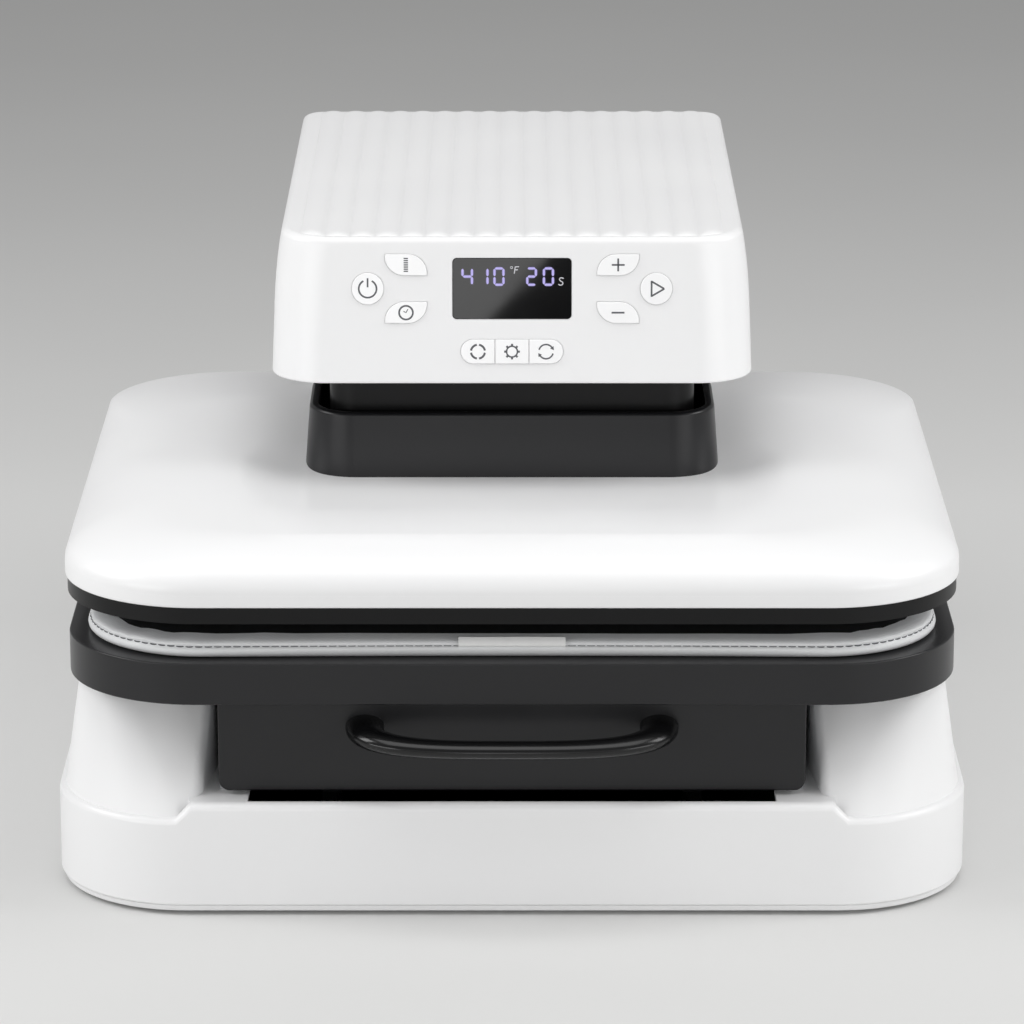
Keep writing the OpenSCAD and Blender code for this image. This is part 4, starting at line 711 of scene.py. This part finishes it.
collar_rings = [outline(half, PRESS_Y - deep, PRESS_Y + deep, deep - 18, z, arc=14)
                for z, half, deep in ((COLLAR_FOOT, 97.6, 43), (COLLAR_TOP, 94.6, 40.1))]
collar_rings += [rim_ring(RIM_EDGE * (1 - math.cos(a)), COLLAR_TOP + RIM_EDGE * math.sin(a))
                 for a in np.radians((20, 45, 70, 90))]
collar_rings += [rim_ring(INNER_DRAW - INNER_EDGE * (1 - math.cos(a)), INNER_Z + INNER_EDGE * math.sin(a))
                 for a in np.radians((90, 60, 30, 0))]
collar_rings.append(outline(91, PRESS_Y - 38, PRESS_Y + 38, 20, COLLAR_FOOT, arc=14))
collar_ring = piece("collar_ring", *loft(collar_rings, round_trip=True), charcoal_nylon, "upper_platen",
                    "charcoal_plastic")
weighted(collar_ring)
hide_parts("collar")

# Bow handle of the drawer: a bent bar, thicker towards its two roots
HANDLE_HALF, HANDLE_REACH, HANDLE_FACE, HANDLE_BEND = 65.0, 28.5, 13.4, 0.62
# Half width, half height and level of the bar at its roots, and how much of each it loses at the middle of the bow
BOW_ROOT, BOW_LOSS = np.array((8.6, 5.2, 84.4)), np.array((2.5, 1.4, 2.0))
bow_turn = np.linspace(0, math.pi, 721)
bow_plan = np.stack([HANDLE_HALF * np.sign(np.cos(bow_turn)) * np.abs(np.cos(bow_turn)) ** HANDLE_BEND,
                     HANDLE_FACE - HANDLE_REACH * np.abs(np.sin(bow_turn)) ** HANDLE_BEND], 1)
bow_run = np.concatenate([[0], np.cumsum(np.linalg.norm(np.diff(bow_plan, axis=0), axis=1))])
bow_at = np.linspace(0, bow_run[-1], 97)
bow_path = np.stack([np.interp(bow_at, bow_run, bow_plan[:, k]) for k in (0, 1)], 1)
bow_path = np.concatenate([bow_path[:1], (bow_path[:-2] + 2 * bow_path[1:-1] + bow_path[2:]) / 4, bow_path[-1:]])
bow_along = np.gradient(bow_path, axis=0)
bow_along[0], bow_along[-1] = (0, -1), (0, 1)
handle_rings = []
for (x, y), (dx, dy) in zip(bow_path, unit(bow_along)):
    out = min((HANDLE_FACE - y) / HANDLE_REACH, 1) ** 2
    wide, tall, mid = BOW_ROOT - BOW_LOSS * out
    handle_rings.append([(x + dy * wide * math.cos(a), y - dx * wide * math.cos(a), mid + tall * math.sin(a))
                         for a in np.linspace(0, 2 * math.pi, 29)[:-1]])
handle_bow = piece("handle_bow", *loft(handle_rings), gloss_abs, "press_drawer", "black_gloss")
weighted(handle_bow)
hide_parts("drawer_handle")


def soften(node, edge):
    """Gives a CAD node that keeps its shape the rounded edges of its mould."""
    solid = frame["nodes"][node]
    weld = solid.modifiers.new("weld", "WELD")
    weld.merge_threshold = 2e-6
    flat = solid.modifiers.new("flat", "DECIMATE")
    flat.decimate_type, flat.angle_limit = "DISSOLVE", math.radians(0.6)
    rim = solid.modifiers.new("edge", "BEVEL")
    rim.width, rim.segments, rim.limit_method, rim.angle_limit = edge * MM, 3, "ANGLE", math.radians(35)
    rim.use_clamp_overlap = True
    even = solid.modifiers.new("normals", "WEIGHTED_NORMAL")
    even.weight = 80


for node, edge in (("drawer_tray", 1.8), ("drawer_box", 0.9), ("platen_rim", 1.2), ("column_cover", 1.5),
                   ("base_pan", 0.6), ("rear_cover", 0.8), ("neck_sleeve", 0.6), ("rubber_feet", 0.5),
                   ("power_inlet", 0.4), ("heat_plate", 0.8), ("display_lens", 0.25)):
    soften(node, edge)
for node in ("power_button", "start_button", "temperature_button", "timer_button", "plus_button", "minus_button",
             "mode_key_left", "mode_key_middle", "mode_key_right"):
    soften(node, 0.3)


# Press mat: a felt pad in coated cloth, sewn round its edge

def coated_cloth(name, colours, thread_mm, depth_mm):
    """Plain-woven aramid with a silver heat-proof coat: pale grey, with a soft shine and the weave just showing.
    Its threads are about 0.5 mm; they are drawn coarser so that they show."""
    material = finish(name, colours, 35, (0.34, 0.46), 3.0, 0.0, Sheen_Weight=0.15, Sheen_Roughness=0.4)
    tree = material.node_tree
    shader = tree.nodes["Principled BSDF"]
    place = add(tree, "ShaderNodeSeparateXYZ", {"Vector": add(tree, "ShaderNodeTexCoord").outputs["Object"]}).outputs
    lean = add(tree, "ShaderNodeMath", {0: place["Z"], 1: -0.6, 2: place["X"]}, operation="MULTIPLY_ADD")
    rise = add(tree, "ShaderNodeMath", {0: place["Z"], 1: place["Y"]}, operation="ADD")
    cloth = add(tree, "ShaderNodeCombineXYZ", {"X": lean.outputs[0], "Y": rise.outputs[0]})
    turns = math.pi / (thread_mm * MM)
    warp = add(tree, "ShaderNodeVectorMath", {0: cloth.outputs[0], "Scale": turns}, operation="SCALE")
    parts = add(tree, "ShaderNodeSeparateXYZ", {"Vector": warp.outputs[0]}).outputs
    waves = [add(tree, "ShaderNodeMath", {0: parts[k]}, operation="SINE").outputs[0] for k in ("X", "Y")]
    over = add(tree, "ShaderNodeMath", {0: waves[0], 1: waves[1]}, operation="MULTIPLY")
    relief = add(tree, "ShaderNodeBump", {"Height": over.outputs[0], "Strength": 0.8, "Distance": depth_mm * MM})
    tree.links.new(relief.outputs["Normal"], shader.inputs["Normal"])
    return material


mat_cloth = coated_cloth("aramid_cloth_silver_coated", ("#eaebec", "#f2f3f4"), 1.2, 0.05)
MAT_FOOT, MAT_HALF, MAT_R, MAT_SAG = 117.0, 190.5, 54.0, 1.5
SEAM_Z, SEAM_INSET, STITCH_INSET = 122.2, 2.0, 1.75
DARK_TOP_EDGE = (10, 8.7)
# Inset and height of the mat's rings, from the middle of its underside round the edge to the middle of its top
MAT_RINGS = ((170, 0), (120, 0), (70, 0), (30, 0), (9, 0.05), (3.4, 0.3), (1.5, 1.0), (0.7, 2.0), (0.5, 3.1), (0.8, 4.1),
             (1.5, 4.8), (SEAM_INSET, 5.2), (1.5, 5.6), (1.0, 6.2), (1.2, 7.0), (2.2, 7.8), (4.0, 8.3), (7.0, 8.6),
             DARK_TOP_EDGE, (20, 8.72), (34, 8.75), (60, 8.8), (95, 8.8), (135, 8.8), (170, 8.8))


def mat_ring(inset, z):
    """The mat's outline at one height above its underside, drawn in by inset; its long sides sag in a little."""
    return outline(MAT_HALF - inset, PRESS_Y - MAT_HALF + inset, PRESS_Y + MAT_HALF - inset, max(MAT_R - inset, 8),
                   MAT_FOOT + z, arc=16, run=40, sag=MAT_SAG)


press_pad = piece("press_pad", *loft([mat_ring(*ring) for ring in MAT_RINGS]), mat_cloth, "press_drawer", "mat_cloth")
# The top of the pad, inside its cloth edge: dark grey and dull, with a fine calendered grain drawn at 0.8 mm.
dark_pad_top = finish("pad_top_dark_grey_grained", ("#1a1b1c", "#202122"), 25, (0.6, 0.7), 0.8, 0.006, IOR=1.41)
press_pad.data.materials.append(dark_pad_top)
ring_count = len(mat_ring(0, 0))
top_start = MAT_RINGS.index(DARK_TOP_EDGE) * ring_count
for face in press_pad.data.polygons:
    if min(face.vertices) >= top_start:
        face.material_index = 1


def puff(made, held, pressure, cap_mm):
    """Swells a sewn pad by cloth simulation: the held points stay, and no point moves further than cap_mm."""
    group = made.vertex_groups.new(name="sewn")
    group.add(held, 1.0, "REPLACE")
    cloth = made.modifiers.new("cloth", "CLOTH")
    cloth.settings.use_pressure = True
    cloth.settings.uniform_pressure_force = pressure
    cloth.settings.vertex_group_mass = "sewn"
    cloth.settings.effector_weights.gravity = 0
    for frame_number in range(1, 21):
        scene.frame_set(frame_number)
    moved = made.evaluated_get(bpy.context.evaluated_depsgraph_get()).to_mesh()
    rest = np.array([v.co for v in made.data.vertices])
    step = np.array([v.co for v in moved.vertices]) - rest
    far = np.linalg.norm(step, axis=1, keepdims=True)
    step *= np.minimum(1, cap_mm * MM / np.maximum(far, 1e-9))
    made.modifiers.remove(cloth)
    scene.frame_set(1)
    made.data.vertices.foreach_set("co", (rest + step).astype(np.float32).ravel())
    made.data.update()


sewn = [k for k, (inset, z) in enumerate(MAT_RINGS) if z < 0.2 or inset == SEAM_INSET]
puff(press_pad, [k * ring_count + j for k in sewn for j in range(ring_count)], pressure=4, cap_mm=0.8)
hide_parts("press_mat")


def stitches(name, path, material, body, slot, length, gap, radius):
    """A row of sewn stitches along a closed path: each one dips into the cloth at both ends."""
    path = np.array(path + path[:1])
    run = np.concatenate([[0], np.cumsum(np.linalg.norm(np.diff(path, axis=0), axis=1))])
    up = np.array((0, 0, 1))
    threads = []
    for start in np.arange(0, run[-1] - length, length + gap):
        spine = [np.array([np.interp(start + length * t, run, path[:, k]) for k in range(3)])
                 for t in (0, 0.25, 0.5, 0.75, 1)]
        ahead = (spine[-1] - spine[0]) / np.linalg.norm(spine[-1] - spine[0])
        out = np.cross(ahead, up)
        threads.append(loft([[p + out * radius * (lift + 0.6 * math.cos(a)) + up * radius * math.sin(a)
                              for a in np.radians((0, 72, 144, 216, 288))]
                             for p, lift in zip(spine, (-0.5, 0.35, 0.6, 0.35, -0.5))]))
    return piece(name, *gather(threads), material, body, slot)


stitches("mat_stitches", mat_ring(STITCH_INSET, SEAM_Z - MAT_FOOT), seam_thread, "press_drawer", "mat_cloth",
         length=3.2, gap=1.0, radius=0.32)

# Pull tab: a strip of webbing sewn into the seam, turned up in front of the mat and slightly wavy along its free edge
TAB_HALF, TAB_T = 23.5, 0.7
TAB_CURVE = np.array(((9.6, 122.2), (8.2, 122.5), (7.8, 123.1), (8.0, 123.9), (8.5, 124.8), (9.2, 125.6),
                      (10.1, 126.3)))
tab_rings = []
for x in np.linspace(-TAB_HALF, TAB_HALF, 25):
    sway = 0.10 * math.sin(x / 5.1) + 0.12 * math.sin(x / 8.3 + 1)
    front = TAB_CURVE + np.array((sway, 0)) * np.linspace(0, 1, len(TAB_CURVE))[:, None]
    along = unit(np.gradient(front, axis=0))
    back = front + TAB_T * np.stack([along[:, 1], -along[:, 0]], 1)
    tab_rings.append([(x, y, z) for y, z in np.concatenate([back, front[::-1]])])
tab_strip = piece("tab_strip", *loft(tab_rings), tab_webbing, "press_drawer", "mat_cloth")
tab_strip.data.set_sharp_from_angle(angle=math.radians(50))
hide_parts("mat_tab")

# Floor
floor_mesh = bpy.data.meshes.new("floor")
floor_mesh.from_pydata([(-8, -8, 0), (8, -8, 0), (8, 8, 0), (-8, 8, 0)], [], [(0, 1, 2, 3)])
# Matt painted sweep: pale and even, so that it only catches the shadow of the press.
floor_mesh.materials.append(finish("pale_matt_paint_rolled", ("#d6d6d5", "#dadad9"), 400, (0.75, 0.85), 6, 0.01))
floor = bpy.data.objects.new("floor", floor_mesh)
scene.collection.objects.link(floor)
